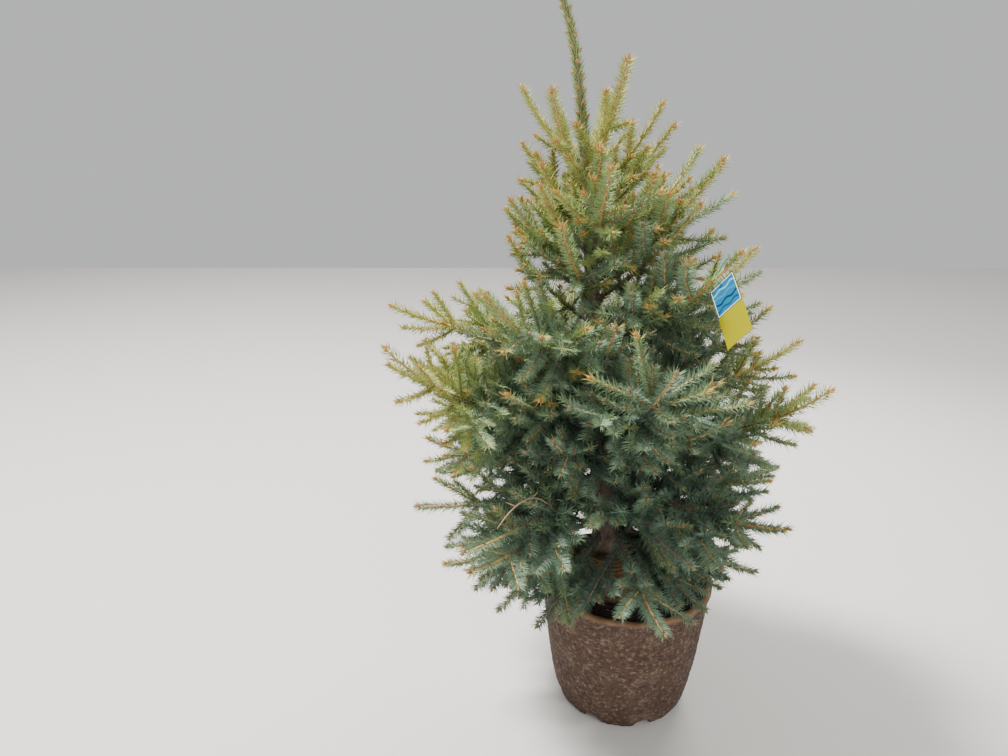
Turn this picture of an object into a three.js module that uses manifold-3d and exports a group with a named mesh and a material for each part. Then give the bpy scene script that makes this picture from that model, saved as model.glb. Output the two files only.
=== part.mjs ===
// A young blue spruce in a moulded fibre pot, as a nursery sells it, with its hang tag tied to a bough.
// Millimetres, +Z up. The origin is the centre of the pot's flat underside. Seen from the tree's front,
// +X is to the right and +Y is to the back.
import * as THREE from "three";
import { mergeVertices } from "three/addons/utils/BufferGeometryUtils.js";
import Module from "manifold-3d";

const wasm = await Module();
wasm.setup();

// Clearance between pieces that touch
const GAP = 0.3;
const CLEARANCE = 1; // the least room between twigs of different masses

// Pot, filling and root ball
const POT_HEIGHT = 370;
const POT_RIM_RADIUS = 226;
const POT_FOOT_RADIUS = 161;
const POT_WALL = 11;
const POT_FLOOR = 38;
const POT_SIDES = 32;
const LIP_HEIGHT = 20;
const LIP_PROUD = 5;
const LIP_ROUND = 4;
const NOTCHES = 8;
const NOTCH_WIDTH = 52;
const NOTCH_HEIGHT = 30;
const NOTCH_DEPTH = 36;
const NOTCH_SHOULDER = 6;
const NOTCH_TURN = -77.5;
const SOIL_LEVEL = 336;
const SOIL_RISE = 10;
const CLOD = 7;
const BALL_RADIUS = 112;
const BALL_HEIGHT = 104;
const BALL_TOP_RADIUS = 52;
const BALL_SIDES = 20;
const BALL_STEPS = 5;
const BALL_FOLD = 4;

// Trunk, from its cut on the root ball to the tip of its leader
const TRUNK_FOOT = SOIL_LEVEL + SOIL_RISE + GAP + BALL_HEIGHT + GAP;
const TRUNK_TIP = 1822;
const TRUNK_X = -55;
const TRUNK_LEAN = 123;
const LEADER_LEAN = 44;
const LEADER_BEND = 14;
const TRUNK_RADIUS = 35.5;
const TIP_RADIUS = 4.5;
const TRUNK_TAPER = 1.25;
const FLARE = 11;
const FLARE_HEIGHT = 30;
const FLARE_LOBES = 5;
const LOBE_SHARE = 0.35;
const TRUNK_SIDES = 12;
const TRUNK_STEPS = 12;
const LEADER_BASE = 1450;
const LEADER_TIP_BARE = 14;
const LEADER_SLEEVE = 3.2;
const LEADER_SIDES = 5;
const LEADER_NEEDLE_LEAN = 32;

// The whorls, from the leader down. height is on the trunk, turn is the first bough's bearing from +X, reach
// is along the bough, rise is its slope at the trunk, middle and tip, bare is the length with no needles, and
// years is how many seasons it has grown.
const WHORLS = [
  { name: "crown", height: 1386, count: 5, turn: 8, reach: 285, rise: [44, 50, 60], bare: 0, years: 1 },
  { name: "upper", height: 1185, count: 6, turn: -30, reach: 365, rise: [36, 44, 54], bare: 0, years: 2 },
  { name: "shoulder", height: 1018, count: 5, turn: 20, reach: 490, rise: [0, 21, 38], bare: 110, years: 3 },
  { name: "middle", height: 815, count: 6, turn: -30, reach: 575, rise: [4, 8, 44], bare: 120, years: 4 },
  { name: "lower", height: 668, count: 5, turn: 18, reach: 505, rise: [-4, -11, 20], bare: 120, years: 4 },
  { name: "skirt", height: 556, count: 5, turn: -18, reach: 440, rise: [-10, -33, -4], bare: 110, years: 3 },
];
// The tree is lopsided: the share by which a whorl reaches further to the right than even, and the degrees by
// which its boughs are steeper to the right and to the front.
const LOP = { crown: 0.06, upper: 0.16, shoulder: 0, middle: -0.04, lower: 0.02, skirt: -0.06 };
const CLIMB_RIGHT = { crown: 0, upper: 0, shoulder: 13, middle: 0, lower: 0, skirt: 0 };
const CLIMB_FRONT = { crown: 0, upper: 0, shoulder: 11, middle: 10, lower: 0, skirt: 11 };
const STRAY = 9; // degrees by which a bough strays from its even place in the whorl
const STAGGER = 45; // how far along the trunk a bough may sit from its whorl's height
const SWAY = 14;
const TILT = 5;
const REACH_SPREAD = 0.07;
const PATH_STEPS = 12;
const BOUGH_TIP_RADIUS = 3.2;
const BOUGH_LEAST_RADIUS = 2.6;
const BOUGH_THICKENING = 0.0125; // millimetres of radius at the trunk for each millimetre of reach
const BOUGH_SIDES = 5;
const BOUGH_STEPS = 4;

// Twigs and needles
const SIDE_RATIO = 0.86; // a twig's length, as a share of what its bough grows on past it
const HALF_YEAR_RATIO = 0.55; // the same for the shorter twigs that grow between two years' nodes
const SIDE_LONGEST = 240;
const SIDE_SHORTEST = 74;
const SIDE_ANGLE = 50;
const SIDE_ANGLE_SPREAD = 7;
const SIDE_LENGTH_SPREAD = 0.12;
const SIDE_TURN_IN = 0.35;
const SIDE_LIFT = 0.16;
const NODE_ROLL = [-24, 24];
const HALF_YEAR_ROLL = [50, 100];
const TWIG_RADIUS = 3.2;
const TWIG_TAPER = 0.6;
const TWIG_STEPS = 6;
const TWIG_FOOT = 12; // a side twig's own foot, which is bare
const FOOT_SHARE = 0.2; // a twig's first stretch lies within its bough, so it isn't held clear of others
const NEEDLE_REACH = 27;
const NEEDLE_LEAN = 58;
const STEM_BARE = 62; // a bough that bears needles from the trunk on starts them this far out
const NEEDLED_LENGTH = 200; // a side twig bears needles this far back from its tip
const TIER_LENGTH = 55;
const TIER_TWIST = 34;
const BUD_LENGTH = 12;

// Hang tag, its tie and the bough that it hangs from. The tag lies out towards the front, so its long side
// and its width are given as directions.
const TAG_BOUGH = "shoulder_5";
const TAG_ALONG = 407;
const TAG_WIDTH = 72;
const TAG_LENGTH = 146;
const TAG_THICK = 1.2;
const TAG_HOLE_RADIUS = 4.5;
const TAG_HOLE_DOWN = 9;
const TAG_DOWN = [0.1, -0.773, -0.625];
const TAG_ACROSS = [0.426, -0.535, 0.73];
const TAG_CLEAR = 40; // length of bare stem to each side of the tie
const TAG_VIEW = [-0.28, -0.94, 0.21]; // the way that the tag is looked at from, which twigs leave free
const TAG_VIEW_ROOM = 46;
const TIE_LOOP_RADIUS = 14;
const TIE_DROP = 9.5; // the loop hangs on top of the stem, so its middle is this far below the stem's
const TIE_RADIUS = 1.2;
const TIE_TAIL = 40;
const TIE_TAIL_LIFT = 0.35;

const RADIANS = Math.PI / 180;
const UP = new THREE.Vector3(0, 0, 1);

const material = (color, roughness) => new THREE.MeshStandardMaterial({ color, roughness, metalness: 0 });
const MATERIALS = {
  pot: material("#6f4a33", 0.95),
  soil: material("#2c241f", 1),
  burlap: material("#6b4a35", 1),
  bark: material("#6a5a4e", 0.95),
  bough: material("#7d6248", 0.9),
  needles: material("#4f6f5c", 0.75),
  tag: material("#d9d21c", 0.4),
  tie: material("#1f9a6a", 0.5),
};

// A repeatable number from 0 to 1 for the k-th choice of the twig numbered seed.
function chance(seed, k) {
  const mixed = Math.sin(seed * 12.9898 + k * 78.233) * 43758.5453;
  return mixed - Math.floor(mixed);
}

const between = (low, high, share) => low + (high - low) * share;

// The unit vector that bears by turn degrees from +X and rises by rise degrees.
function heading(turn, rise) {
  const level = Math.cos(rise * RADIANS);
  return new THREE.Vector3(
    level * Math.cos(turn * RADIANS),
    level * Math.sin(turn * RADIANS),
    Math.sin(rise * RADIANS),
  );
}

// A path of equal steps whose direction turns smoothly through three headings.
function grow(start, headings, length, steps) {
  const [first, second, third] = headings;
  const points = [start.clone()];
  for (let k = 0; k < steps; k += 1) {
    const s = (k + 0.5) / steps;
    const direction = first
      .clone()
      .multiplyScalar((1 - s) ** 2)
      .addScaledVector(second, 2 * s * (1 - s))
      .addScaledVector(third, s * s)
      .normalize();
    points.push(points[k].clone().addScaledVector(direction, length / steps));
  }
  return points;
}

// The point and the direction on a path at a distance along it.
function along(path, distance) {
  let left = distance;
  for (let k = 1; k < path.length; k += 1) {
    const span = path[k].distanceTo(path[k - 1]);
    if (left <= span || k === path.length - 1) {
      const direction = path[k].clone().sub(path[k - 1]).normalize();
      return { point: path[k - 1].clone().addScaledVector(direction, left), direction };
    }
    left -= span;
  }
  throw new Error("the path has no length");
}

// Points a step apart on a stretch of a path.
function stretch(path, from, to, steps) {
  return Array.from({ length: steps + 1 }, (_, k) => along(path, between(from, to, k / steps)).point);
}

const lengthOf = (path) => path.slice(1).reduce((sum, p, k) => sum + p.distanceTo(path[k]), 0);

// Two unit vectors square to a direction: one level, and one that points as far up as it can.
function squareTo(direction) {
  const level = new THREE.Vector3().crossVectors(direction, UP);
  if (level.length() < 0.05) level.set(1, 0, 0);
  level.normalize();
  return { level, top: new THREE.Vector3().crossVectors(level, direction).normalize() };
}

// A closed mesh from points and triangles.
function meshed(points, triangles) {
  const geometry = new THREE.BufferGeometry();
  const places = points.flatMap((point) => point.toArray());
  geometry.setAttribute("position", new THREE.Float32BufferAttribute(places, 3));
  geometry.setIndex(triangles.flat());
  return geometry;
}

// A closed skin over rings of equally many points, the ends filled flat.
function skinned(rings) {
  const sides = rings[0].length;
  const points = rings.flat();
  const triangles = [];
  for (let r = 0; r + 1 < rings.length; r += 1) {
    for (let k = 0; k < sides; k += 1) {
      const [a, b] = [r * sides + k, r * sides + ((k + 1) % sides)];
      triangles.push([a, b, b + sides], [a, b + sides, a + sides]);
    }
  }
  const last = (rings.length - 1) * sides;
  for (let k = 1; k + 1 < sides; k += 1) {
    triangles.push([0, k + 1, k], [last, last + k, last + k + 1]);
  }
  return meshed(points, triangles);
}

// A ring of points round a path's point, square to the direction there.
function ringAt(centre, direction, radius, sides, twist = 0) {
  const { level, top } = squareTo(direction);
  return Array.from({ length: sides }, (_, k) => {
    const angle = (twist + (360 * k) / sides) * RADIANS;
    return centre
      .clone()
      .addScaledVector(level, radius * Math.cos(angle))
      .addScaledVector(top, -radius * Math.sin(angle));
  });
}

// A tapering round limb along a path.
function limb(path, radii, sides) {
  const rings = path.map((centre, k) => {
    const ahead = path[Math.min(k + 1, path.length - 1)];
    const behind = path[Math.max(k - 1, 0)];
    return ringAt(centre, ahead.clone().sub(behind).normalize(), radii[k], sides);
  });
  return skinned(rings);
}

function solidOf(geometry) {
  const bare = geometry.clone();
  bare.deleteAttribute("normal");
  bare.deleteAttribute("uv");
  const merged = mergeVertices(bare, 1e-4);
  const mesh = new wasm.Mesh({
    numProp: 3,
    vertProperties: new Float32Array(merged.attributes.position.array),
    triVerts: new Uint32Array(merged.index.array),
  });
  return new wasm.Manifold(mesh);
}

function geometryOf(solid) {
  const mesh = solid.getMesh();
  const geometry = new THREE.BufferGeometry();
  geometry.setAttribute("position", new THREE.BufferAttribute(mesh.vertProperties, 3));
  geometry.setIndex(new THREE.BufferAttribute(mesh.triVerts, 1));
  geometry.computeVertexNormals();
  return geometry;
}

const plant = new THREE.Group();

function add(name, geometry, finish) {
  const mesh = new THREE.Mesh(geometry, finish);
  mesh.name = name;
  plant.add(mesh);
}

// The trunk's centre and radius at a height
function trunkAt(height) {
  const t = (height - TRUNK_FOOT) / (TRUNK_TIP - TRUNK_FOOT);
  const centre = new THREE.Vector3(TRUNK_X - TRUNK_LEAN * t - LEADER_LEAN * t ** LEADER_BEND, 0, height);
  const flare = FLARE * Math.exp((TRUNK_FOOT - height) / FLARE_HEIGHT);
  const radius = TIP_RADIUS + (TRUNK_RADIUS - TIP_RADIUS) * Math.max(0, 1 - t) ** TRUNK_TAPER;
  return { centre, radius: radius + flare, flare };
}

// The trunk, or the space that it needs when it is grown by a margin.
function trunkGeometry(margin) {
  const heights = [0, 0.4, 1, 2].map((share) => TRUNK_FOOT + share * FLARE_HEIGHT);
  const flareTop = heights.at(-1);
  for (let k = 1; k <= TRUNK_STEPS; k += 1) heights.push(between(flareTop, TRUNK_TIP, k / TRUNK_STEPS));
  const rings = heights.map((height) => {
    const { centre, radius, flare } = trunkAt(height);
    return Array.from({ length: TRUNK_SIDES }, (_, k) => {
      const angle = (2 * Math.PI * k) / TRUNK_SIDES;
      const lobe = LOBE_SHARE * flare * Math.cos(FLARE_LOBES * angle);
      const reach = radius + lobe + margin;
      const out = new THREE.Vector3(Math.cos(angle), Math.sin(angle), 0);
      return centre.clone().addScaledVector(out, reach);
    });
  });
  return skinned(rings);
}

// The pot's outer radius swells quickly above its foot and is nearly upright at the rim.
const potRadius = (height) =>
  POT_FOOT_RADIUS + (POT_RIM_RADIUS - POT_FOOT_RADIUS) * Math.sqrt(height / POT_HEIGHT);

function makePot() {
  const wallHeights = [0, 10, 30, 60, 100, 170, 250, POT_HEIGHT - LIP_HEIGHT];
  const lipBase = POT_HEIGHT - LIP_HEIGHT;
  const outer = wallHeights.map((h) => [potRadius(h), h]);
  const lip = [
    [potRadius(lipBase) + LIP_PROUD, lipBase + LIP_ROUND],
    [potRadius(POT_HEIGHT) + LIP_PROUD, POT_HEIGHT - LIP_ROUND],
    [potRadius(POT_HEIGHT) + LIP_PROUD - LIP_ROUND, POT_HEIGHT],
    [potRadius(POT_HEIGHT) - POT_WALL + LIP_ROUND, POT_HEIGHT],
  ];
  const inner = [...wallHeights.slice(3).reverse(), POT_FLOOR].map((h) => [potRadius(h) - POT_WALL, h]);
  const outline = [[0, 0], ...outer, ...lip, ...inner, [0, POT_FLOOR]];
  const profile = outline.map(([r, h]) => new THREE.Vector2(r, h));
  let pot = solidOf(new THREE.LatheGeometry(profile, POT_SIDES).rotateX(Math.PI / 2));

  // An arched notch, cut inwards through the foot
  const arch = new THREE.Shape();
  const half = NOTCH_WIDTH / 2;
  arch.moveTo(-half, -NOTCH_SHOULDER);
  arch.lineTo(half, -NOTCH_SHOULDER);
  arch.quadraticCurveTo(half - NOTCH_SHOULDER, NOTCH_HEIGHT, 0, NOTCH_HEIGHT);
  arch.quadraticCurveTo(NOTCH_SHOULDER - half, NOTCH_HEIGHT, -half, -NOTCH_SHOULDER);
  for (let k = 0; k < NOTCHES; k += 1) {
    const cut = { depth: NOTCH_DEPTH * 2, bevelEnabled: false, curveSegments: 2 };
    const cutter = new THREE.ExtrudeGeometry(arch, cut)
      .rotateX(Math.PI / 2)
      .rotateZ(Math.PI / 2)
      .translate(POT_FOOT_RADIUS - NOTCH_DEPTH, 0, 0)
      .rotateZ((NOTCH_TURN + (360 * k) / NOTCHES) * RADIANS);
    pot = pot.subtract(solidOf(cutter));
  }
  add("pot", geometryOf(pot), MATERIALS.pot);
}

// The filling: level with low clods by the wall, and a flat seat for the root ball.
function makeSoil() {
  const seat = SOIL_LEVEL + SOIL_RISE;
  const ring = (radius, height, x = 0) =>
    Array.from({ length: POT_SIDES }, (_, k) => {
      const angle = (2 * Math.PI * k) / POT_SIDES;
      return new THREE.Vector3(x + radius * Math.cos(angle), radius * Math.sin(angle), height);
    });
  const wall = [POT_FLOOR + GAP, 60, 100, 170, 250, SOIL_LEVEL];
  const rings = wall.map((h) => ring(potRadius(h) - POT_WALL - 1.5 * GAP, h));
  const wallTop = rings.at(-1);
  const seatRing = ring(BALL_RADIUS + 3, seat, TRUNK_X);
  [0.35, 0.75].forEach((share, r) => {
    rings.push(
      wallTop.map((p, k) => {
        const point = p.clone().lerp(seatRing[k], share);
        point.z += CLOD * (chance(k, r) - 0.35);
        return point;
      }),
    );
  });
  rings.push(seatRing);
  add("soil", skinned(rings), MATERIALS.soil);
}

// The root ball's crown, wrapped in burlap: a dome gathered in round the trunk, with a flat top.
function makeRootBall() {
  const base = SOIL_LEVEL + SOIL_RISE + GAP;
  const rings = Array.from({ length: BALL_STEPS + 1 }, (_, r) => {
    const lift = r / BALL_STEPS;
    const radius = between(BALL_RADIUS, BALL_TOP_RADIUS, lift ** 1.6);
    return Array.from({ length: BALL_SIDES }, (_, k) => {
      const fold = r === BALL_STEPS ? 0 : BALL_FOLD * (chance(k, 40 + r) - 0.5);
      const angle = (2 * Math.PI * k) / BALL_SIDES;
      const reach = radius + fold;
      return new THREE.Vector3(
        TRUNK_X + reach * Math.cos(angle),
        reach * Math.sin(angle),
        base + BALL_HEIGHT * Math.sin((lift * Math.PI) / 2),
      );
    });
  });
  add("root_ball", skinned(rings), MATERIALS.burlap);
}

// Every bough of every whorl, with its path from the trunk's centre line. Its seed sets how it strays.
function growBoughs() {
  return WHORLS.flatMap((whorl, w) =>
    Array.from({ length: whorl.count }, (_, k) => {
      const seed = 100 * (w + 1) + k;
      const either = (most, choice) => between(-most, most, chance(seed, choice));
      const turn = whorl.turn + (360 * k) / whorl.count + either(STRAY, 1);
      const toRight = Math.cos(turn * RADIANS);
      const toFront = -Math.sin(turn * RADIANS);
      const reach = whorl.reach * (1 + LOP[whorl.name] * toRight) * (1 + either(REACH_SPREAD, 2));
      const step = ((k * 2) % whorl.count) / whorl.count;
      const height = whorl.height + between(-STAGGER, STAGGER, step);
      const sway = either(SWAY, 3);
      const climb = CLIMB_RIGHT[whorl.name] * toRight + CLIMB_FRONT[whorl.name] * toFront + either(TILT, 4);
      const headings = whorl.rise.map((rise, at) => heading(turn + (sway * at) / 2, rise + climb));
      const path = grow(trunkAt(height).centre, headings, reach, PATH_STEPS);
      return { name: `${whorl.name}_${k + 1}`, whorl, seed, path, reach };
    }),
  );
}

function boughRadius(bough, distance) {
  const root = BOUGH_LEAST_RADIUS + BOUGH_THICKENING * bough.reach;
  return between(root, BOUGH_TIP_RADIUS, distance / bough.reach);
}

// A pair of twigs that leave a stem to either side, in a plane rolled about the stem.
function twigPair(stem, distance, length, tilt, seed) {
  const { point, direction } = along(stem, distance);
  const { level, top } = squareTo(direction);
  const roll = tilt * RADIANS;
  const aside = level.clone().multiplyScalar(Math.cos(roll)).addScaledVector(top, Math.sin(roll));
  return [-1, 1].map((side) => {
    const own = seed + (side + 1) / 2;
    const angle = (SIDE_ANGLE + between(-SIDE_ANGLE_SPREAD, SIDE_ANGLE_SPREAD, chance(own, 1))) * RADIANS;
    const first = direction
      .clone()
      .multiplyScalar(Math.cos(angle))
      .addScaledVector(aside, side * Math.sin(angle))
      .normalize();
    const last = first.clone().addScaledVector(direction, SIDE_TURN_IN).addScaledVector(UP, SIDE_LIFT);
    const grown = length * between(1 - SIDE_LENGTH_SPREAD, 1 + SIDE_LENGTH_SPREAD, chance(own, 3));
    return { length: grown, path: grow(point, [first, first, last.normalize()], grown, TWIG_STEPS) };
  });
}

// The side twigs of a bough, from its tip back: long ones to the left and right at the end of each year's
// growth, and shorter ones above and below halfway between.
function sideTwigs(bough) {
  const { whorl, path, reach, seed } = bough;
  const season = reach / whorl.years;
  const twigs = [];
  for (let half = 2 * whorl.years - 1; half >= 1; half -= 1) {
    const distance = (season * half) / 2;
    const atNode = half % 2 === 0;
    const length = Math.min(SIDE_LONGEST, (atNode ? SIDE_RATIO : HALF_YEAR_RATIO) * (reach - distance));
    if (distance < Math.max(whorl.bare + TWIG_FOOT, STEM_BARE) || length < SIDE_SHORTEST) continue;
    const own = seed * 40 + half * 4;
    const tilt = between(...(atNode ? NODE_ROLL : HALF_YEAR_ROLL), chance(own, 5));
    twigs.push(...twigPair(path, distance, length, tilt, own));
  }
  return twigs;
}

// A spray of needles: a twig along a stretch of a path, with a needle-pointed fin on each face of each tier
// from needled on, and a bud at its tip. It is bare between the two distances of clear.
function spray({ path, from = 0, needled, radius, sides = 3, lean = NEEDLE_LEAN, clear = [0, 0] }) {
  const end = lengthOf(path);
  const tiers = Math.max(2, Math.round((end - needled) / TIER_LENGTH));
  const marks = Array.from({ length: tiers + 1 }, (_, k) => between(needled, end, k / tiers));
  const hasStem = needled > from + 1;
  if (hasStem) marks.unshift(from);
  const rings = marks.map((distance, r) => {
    const { point, direction } = along(path, distance);
    const points = ringAt(point, direction, radius(distance), sides, TIER_TWIST * r);
    return { centre: point, direction, distance, points };
  });
  const points = rings.flatMap((r) => r.points);
  const triangles = Array.from({ length: sides - 2 }, (_, k) => [0, k + 2, k + 1]);
  for (let r = 0; r + 1 < rings.length; r += 1) {
    const middle = (rings[r].distance + rings[r + 1].distance) / 2;
    const bare = (hasStem && r === 0) || (middle > clear[0] && middle < clear[1]);
    for (let k = 0; k < sides; k += 1) {
      const next = (k + 1) % sides;
      const corners = [r * sides + k, r * sides + next, (r + 1) * sides + next, (r + 1) * sides + k];
      if (bare) {
        triangles.push([corners[0], corners[1], corners[2]], [corners[0], corners[2], corners[3]]);
        continue;
      }
      const heart = corners.reduce((sum, c) => sum.addScaledVector(points[c], 0.25), new THREE.Vector3());
      const core = rings[r].centre.clone().lerp(rings[r + 1].centre, 0.5);
      const out = heart.clone().sub(core).normalize();
      const apex = heart
        .addScaledVector(out, NEEDLE_REACH * Math.sin(lean * RADIANS))
        .addScaledVector(rings[r].direction, NEEDLE_REACH * Math.cos(lean * RADIANS));
      points.push(apex);
      const tip = points.length - 1;
      corners.forEach((corner, c) => triangles.push([corner, corners[(c + 1) % 4], tip]));
    }
  }
  const last = rings.length - 1;
  points.push(rings[last].centre.clone().addScaledVector(rings[last].direction, BUD_LENGTH));
  const bud = points.length - 1;
  for (let k = 0; k < sides; k += 1) {
    triangles.push([last * sides + k, last * sides + ((k + 1) % sides), bud]);
  }
  return meshed(points, triangles);
}

// The least distance between two straight stretches, each given by its ends.
function apart(a, b, c, d) {
  const [u, v, w] = [b.clone().sub(a), d.clone().sub(c), a.clone().sub(c)];
  const [uu, uv, vv, uw, vw] = [u.dot(u), u.dot(v), v.dot(v), u.dot(w), v.dot(w)];
  const clamp = (x) => Math.min(1, Math.max(0, x));
  const spread = uu * vv - uv * uv;
  let s = spread < 1e-9 ? 0 : clamp((uv * vw - vv * uw) / spread);
  const t = clamp((uv * s + vw) / vv);
  s = clamp((uv * t - uw) / uu);
  return w.addScaledVector(u, s).addScaledVector(v, -t).length();
}

// Space that is taken: stretches of path, each with the radius that it needs and the node that it is part of.
const taken = [];

function claim(path, radius, owner) {
  for (let k = 1; k < path.length; k += 1) {
    taken.push({ from: path[k - 1], to: path[k], radius, owner });
  }
}

function isClear(path, radius, owner) {
  const others = taken.filter((other) => other.owner !== owner);
  const room = (from, to, other) => apart(from, to, other.from, other.to) - radius - other.radius;
  return path.slice(1).every((to, k) => others.every((other) => room(path[k], to, other) > CLEARANCE));
}

const union = (solids) => solids.reduce((whole, solid) => whole.add(solid));

const boughs = growBoughs();
const trunkSpace = solidOf(trunkGeometry(GAP));
const finReach = NEEDLE_REACH * Math.sin(NEEDLE_LEAN * RADIANS) + 3;

// The tag hangs by the top of its hole from its tie, which is looped over a bough's stem.
function tagPlace() {
  const bough = boughs.find((b) => b.name === TAG_BOUGH);
  const { point } = along(bough.path, TAG_ALONG);
  const down = new THREE.Vector3(...TAG_DOWN).normalize();
  const across = new THREE.Vector3(...TAG_ACROSS).projectOnPlane(down).normalize();
  const face = new THREE.Vector3().crossVectors(down, across);
  const loop = point.clone().addScaledVector(down, TIE_DROP);
  const hang = TIE_LOOP_RADIUS + TAG_HOLE_RADIUS - TIE_RADIUS - 2 * GAP;
  const hole = loop.clone().addScaledVector(down, hang);
  const knot = loop.clone().addScaledVector(down, -TIE_LOOP_RADIUS);
  return { loop, hole, knot, down, across, face };
}

function makeTag() {
  const { loop, hole, knot, down, across, face } = tagPlace();
  const plate = new THREE.Shape();
  const half = TAG_WIDTH / 2;
  plate.moveTo(-half, TAG_HOLE_DOWN);
  plate.lineTo(-half, TAG_HOLE_DOWN - TAG_LENGTH);
  plate.lineTo(half, TAG_HOLE_DOWN - TAG_LENGTH);
  plate.lineTo(half, TAG_HOLE_DOWN);
  plate.closePath();
  plate.holes.push(new THREE.Path().absarc(0, 0, TAG_HOLE_RADIUS, 0, 2 * Math.PI, true));
  const seat = new THREE.Matrix4().makeBasis(across, down.clone().negate(), face);
  seat.setPosition(hole);
  const tag = new THREE.ExtrudeGeometry(plate, { depth: TAG_THICK, bevelEnabled: false, curveSegments: 6 })
    .translate(0, 0, -TAG_THICK / 2)
    .applyMatrix4(seat);
  add("hang_tag", tag, MATERIALS.tag);

  const ring = new THREE.TorusGeometry(TIE_LOOP_RADIUS, TIE_RADIUS, 5, 16);
  const round = new THREE.Matrix4().makeBasis(face, down, new THREE.Vector3().crossVectors(face, down));
  round.setPosition(loop);
  const away = across.clone().addScaledVector(down, -TIE_TAIL_LIFT).normalize();
  const tail = limb([knot, knot.clone().addScaledVector(away, TIE_TAIL)], [TIE_RADIUS * 1.5, TIE_RADIUS], 4);
  add("tag_tie", geometryOf(solidOf(ring.applyMatrix4(round)).add(solidOf(tail))), MATERIALS.tie);
}

// The leader's needles stand round it in a sleeve that is cut clear of its wood.
function makeLeaderNeedles() {
  const top = TRUNK_TIP - LEADER_TIP_BARE;
  const path = Array.from(
    { length: PATH_STEPS + 1 },
    (_, k) => trunkAt(between(LEADER_BASE, top, k / PATH_STEPS)).centre,
  );
  const radius = (distance) => trunkAt(LEADER_BASE + distance).radius + LEADER_SLEEVE;
  const sleeve = spray({ path, needled: 0, radius, sides: LEADER_SIDES, lean: LEADER_NEEDLE_LEAN });
  add("foliage_leader", geometryOf(solidOf(sleeve).subtract(trunkSpace)), MATERIALS.needles);
}

// Takes the space of the pot's rim, trunk, boughs and tag, so that side twigs keep out of it.
function claimSolids() {
  const rim = Array.from({ length: POT_SIDES + 1 }, (_, k) => {
    const angle = (2 * Math.PI * k) / POT_SIDES;
    const radius = POT_RIM_RADIUS - POT_WALL / 2;
    return new THREE.Vector3(radius * Math.cos(angle), radius * Math.sin(angle), POT_HEIGHT - LIP_HEIGHT / 2);
  });
  claim(rim, LIP_HEIGHT / 2 + LIP_PROUD, "pot");
  for (let k = 0; k < TRUNK_STEPS; k += 1) {
    const [low, high] = [k, k + 1].map((step) => trunkAt(between(TRUNK_FOOT, TRUNK_TIP, step / TRUNK_STEPS)));
    claim([low.centre, high.centre], low.radius, "trunk");
  }
  boughs.forEach((bough) => {
    const bare = Math.max(bough.whorl.bare, STEM_BARE);
    claim(stretch(bough.path, 0, bare, 3), boughRadius(bough, 0), bough.name);
    claim(stretch(bough.path, bare, bough.reach, 8), finReach, bough.name);
  });
  const { loop, hole, knot, down, across } = tagPlace();
  const lane = TAG_WIDTH / 6;
  [-2, 0, 2].forEach((k) => {
    const top = hole.clone().addScaledVector(across, k * lane);
    claim([top, top.clone().addScaledVector(down, TAG_LENGTH)], lane, "hang_tag");
  });
  [1, 2.2].forEach((k) => {
    const ahead = loop.clone().addScaledVector(new THREE.Vector3(...TAG_VIEW), k * TAG_VIEW_ROOM);
    claim([ahead, ahead.clone().addScaledVector(down, TAG_LENGTH)], TAG_VIEW_ROOM, "hang_tag");
  });
  claim([knot, knot.clone().addScaledVector(across, TIE_TAIL)], 2 * TIE_RADIUS, "tag_tie");
}

function makeBough(bough) {
  const { whorl, path, name } = bough;
  const bare = stretch(path, 0, whorl.bare, BOUGH_STEPS);
  const radii = bare.map((_, k) => boughRadius(bough, (whorl.bare * k) / BOUGH_STEPS));
  const solid = solidOf(limb(bare, radii, BOUGH_SIDES)).subtract(trunkSpace);
  add(`bough_${name}`, geometryOf(solid), MATERIALS.bough);
}

// A mass of foliage: the needled part of a bough's stem with the side twigs that find room.
function makeFoliage(bough) {
  const { whorl, path, name } = bough;
  const from = whorl.bare > 0 ? whorl.bare + GAP : 0;
  const clear = name === TAG_BOUGH ? [TAG_ALONG - TAG_CLEAR, TAG_ALONG + TAG_CLEAR] : [0, 0];
  const radius = (distance) => 0.9 * boughRadius(bough, distance);
  const sprays = [spray({ path, from, needled: Math.max(from, STEM_BARE), radius, clear })];
  sideTwigs(bough).forEach((twig) => {
    const outer = stretch(twig.path, FOOT_SHARE * twig.length, twig.length, TWIG_STEPS);
    if (!isClear(outer, finReach, name)) return;
    claim(outer, finReach, name);
    const needled = Math.max(TWIG_FOOT, twig.length - NEEDLED_LENGTH);
    const thin = (distance) => TWIG_RADIUS * between(1, TWIG_TAPER, distance / twig.length);
    sprays.push(spray({ path: twig.path, needled, radius: thin }));
  });
  const mass = union(sprays.map(solidOf)).subtract(trunkSpace);
  add(`foliage_${name}`, geometryOf(mass), MATERIALS.needles);
}

makePot();
makeSoil();
makeRootBall();
add("trunk", trunkGeometry(0), MATERIALS.bark);
makeLeaderNeedles();
claimSolids();
boughs.filter((bough) => bough.whorl.bare > 0).forEach(makeBough);
boughs.forEach(makeFoliage);
makeTag();

export default plant;
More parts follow.
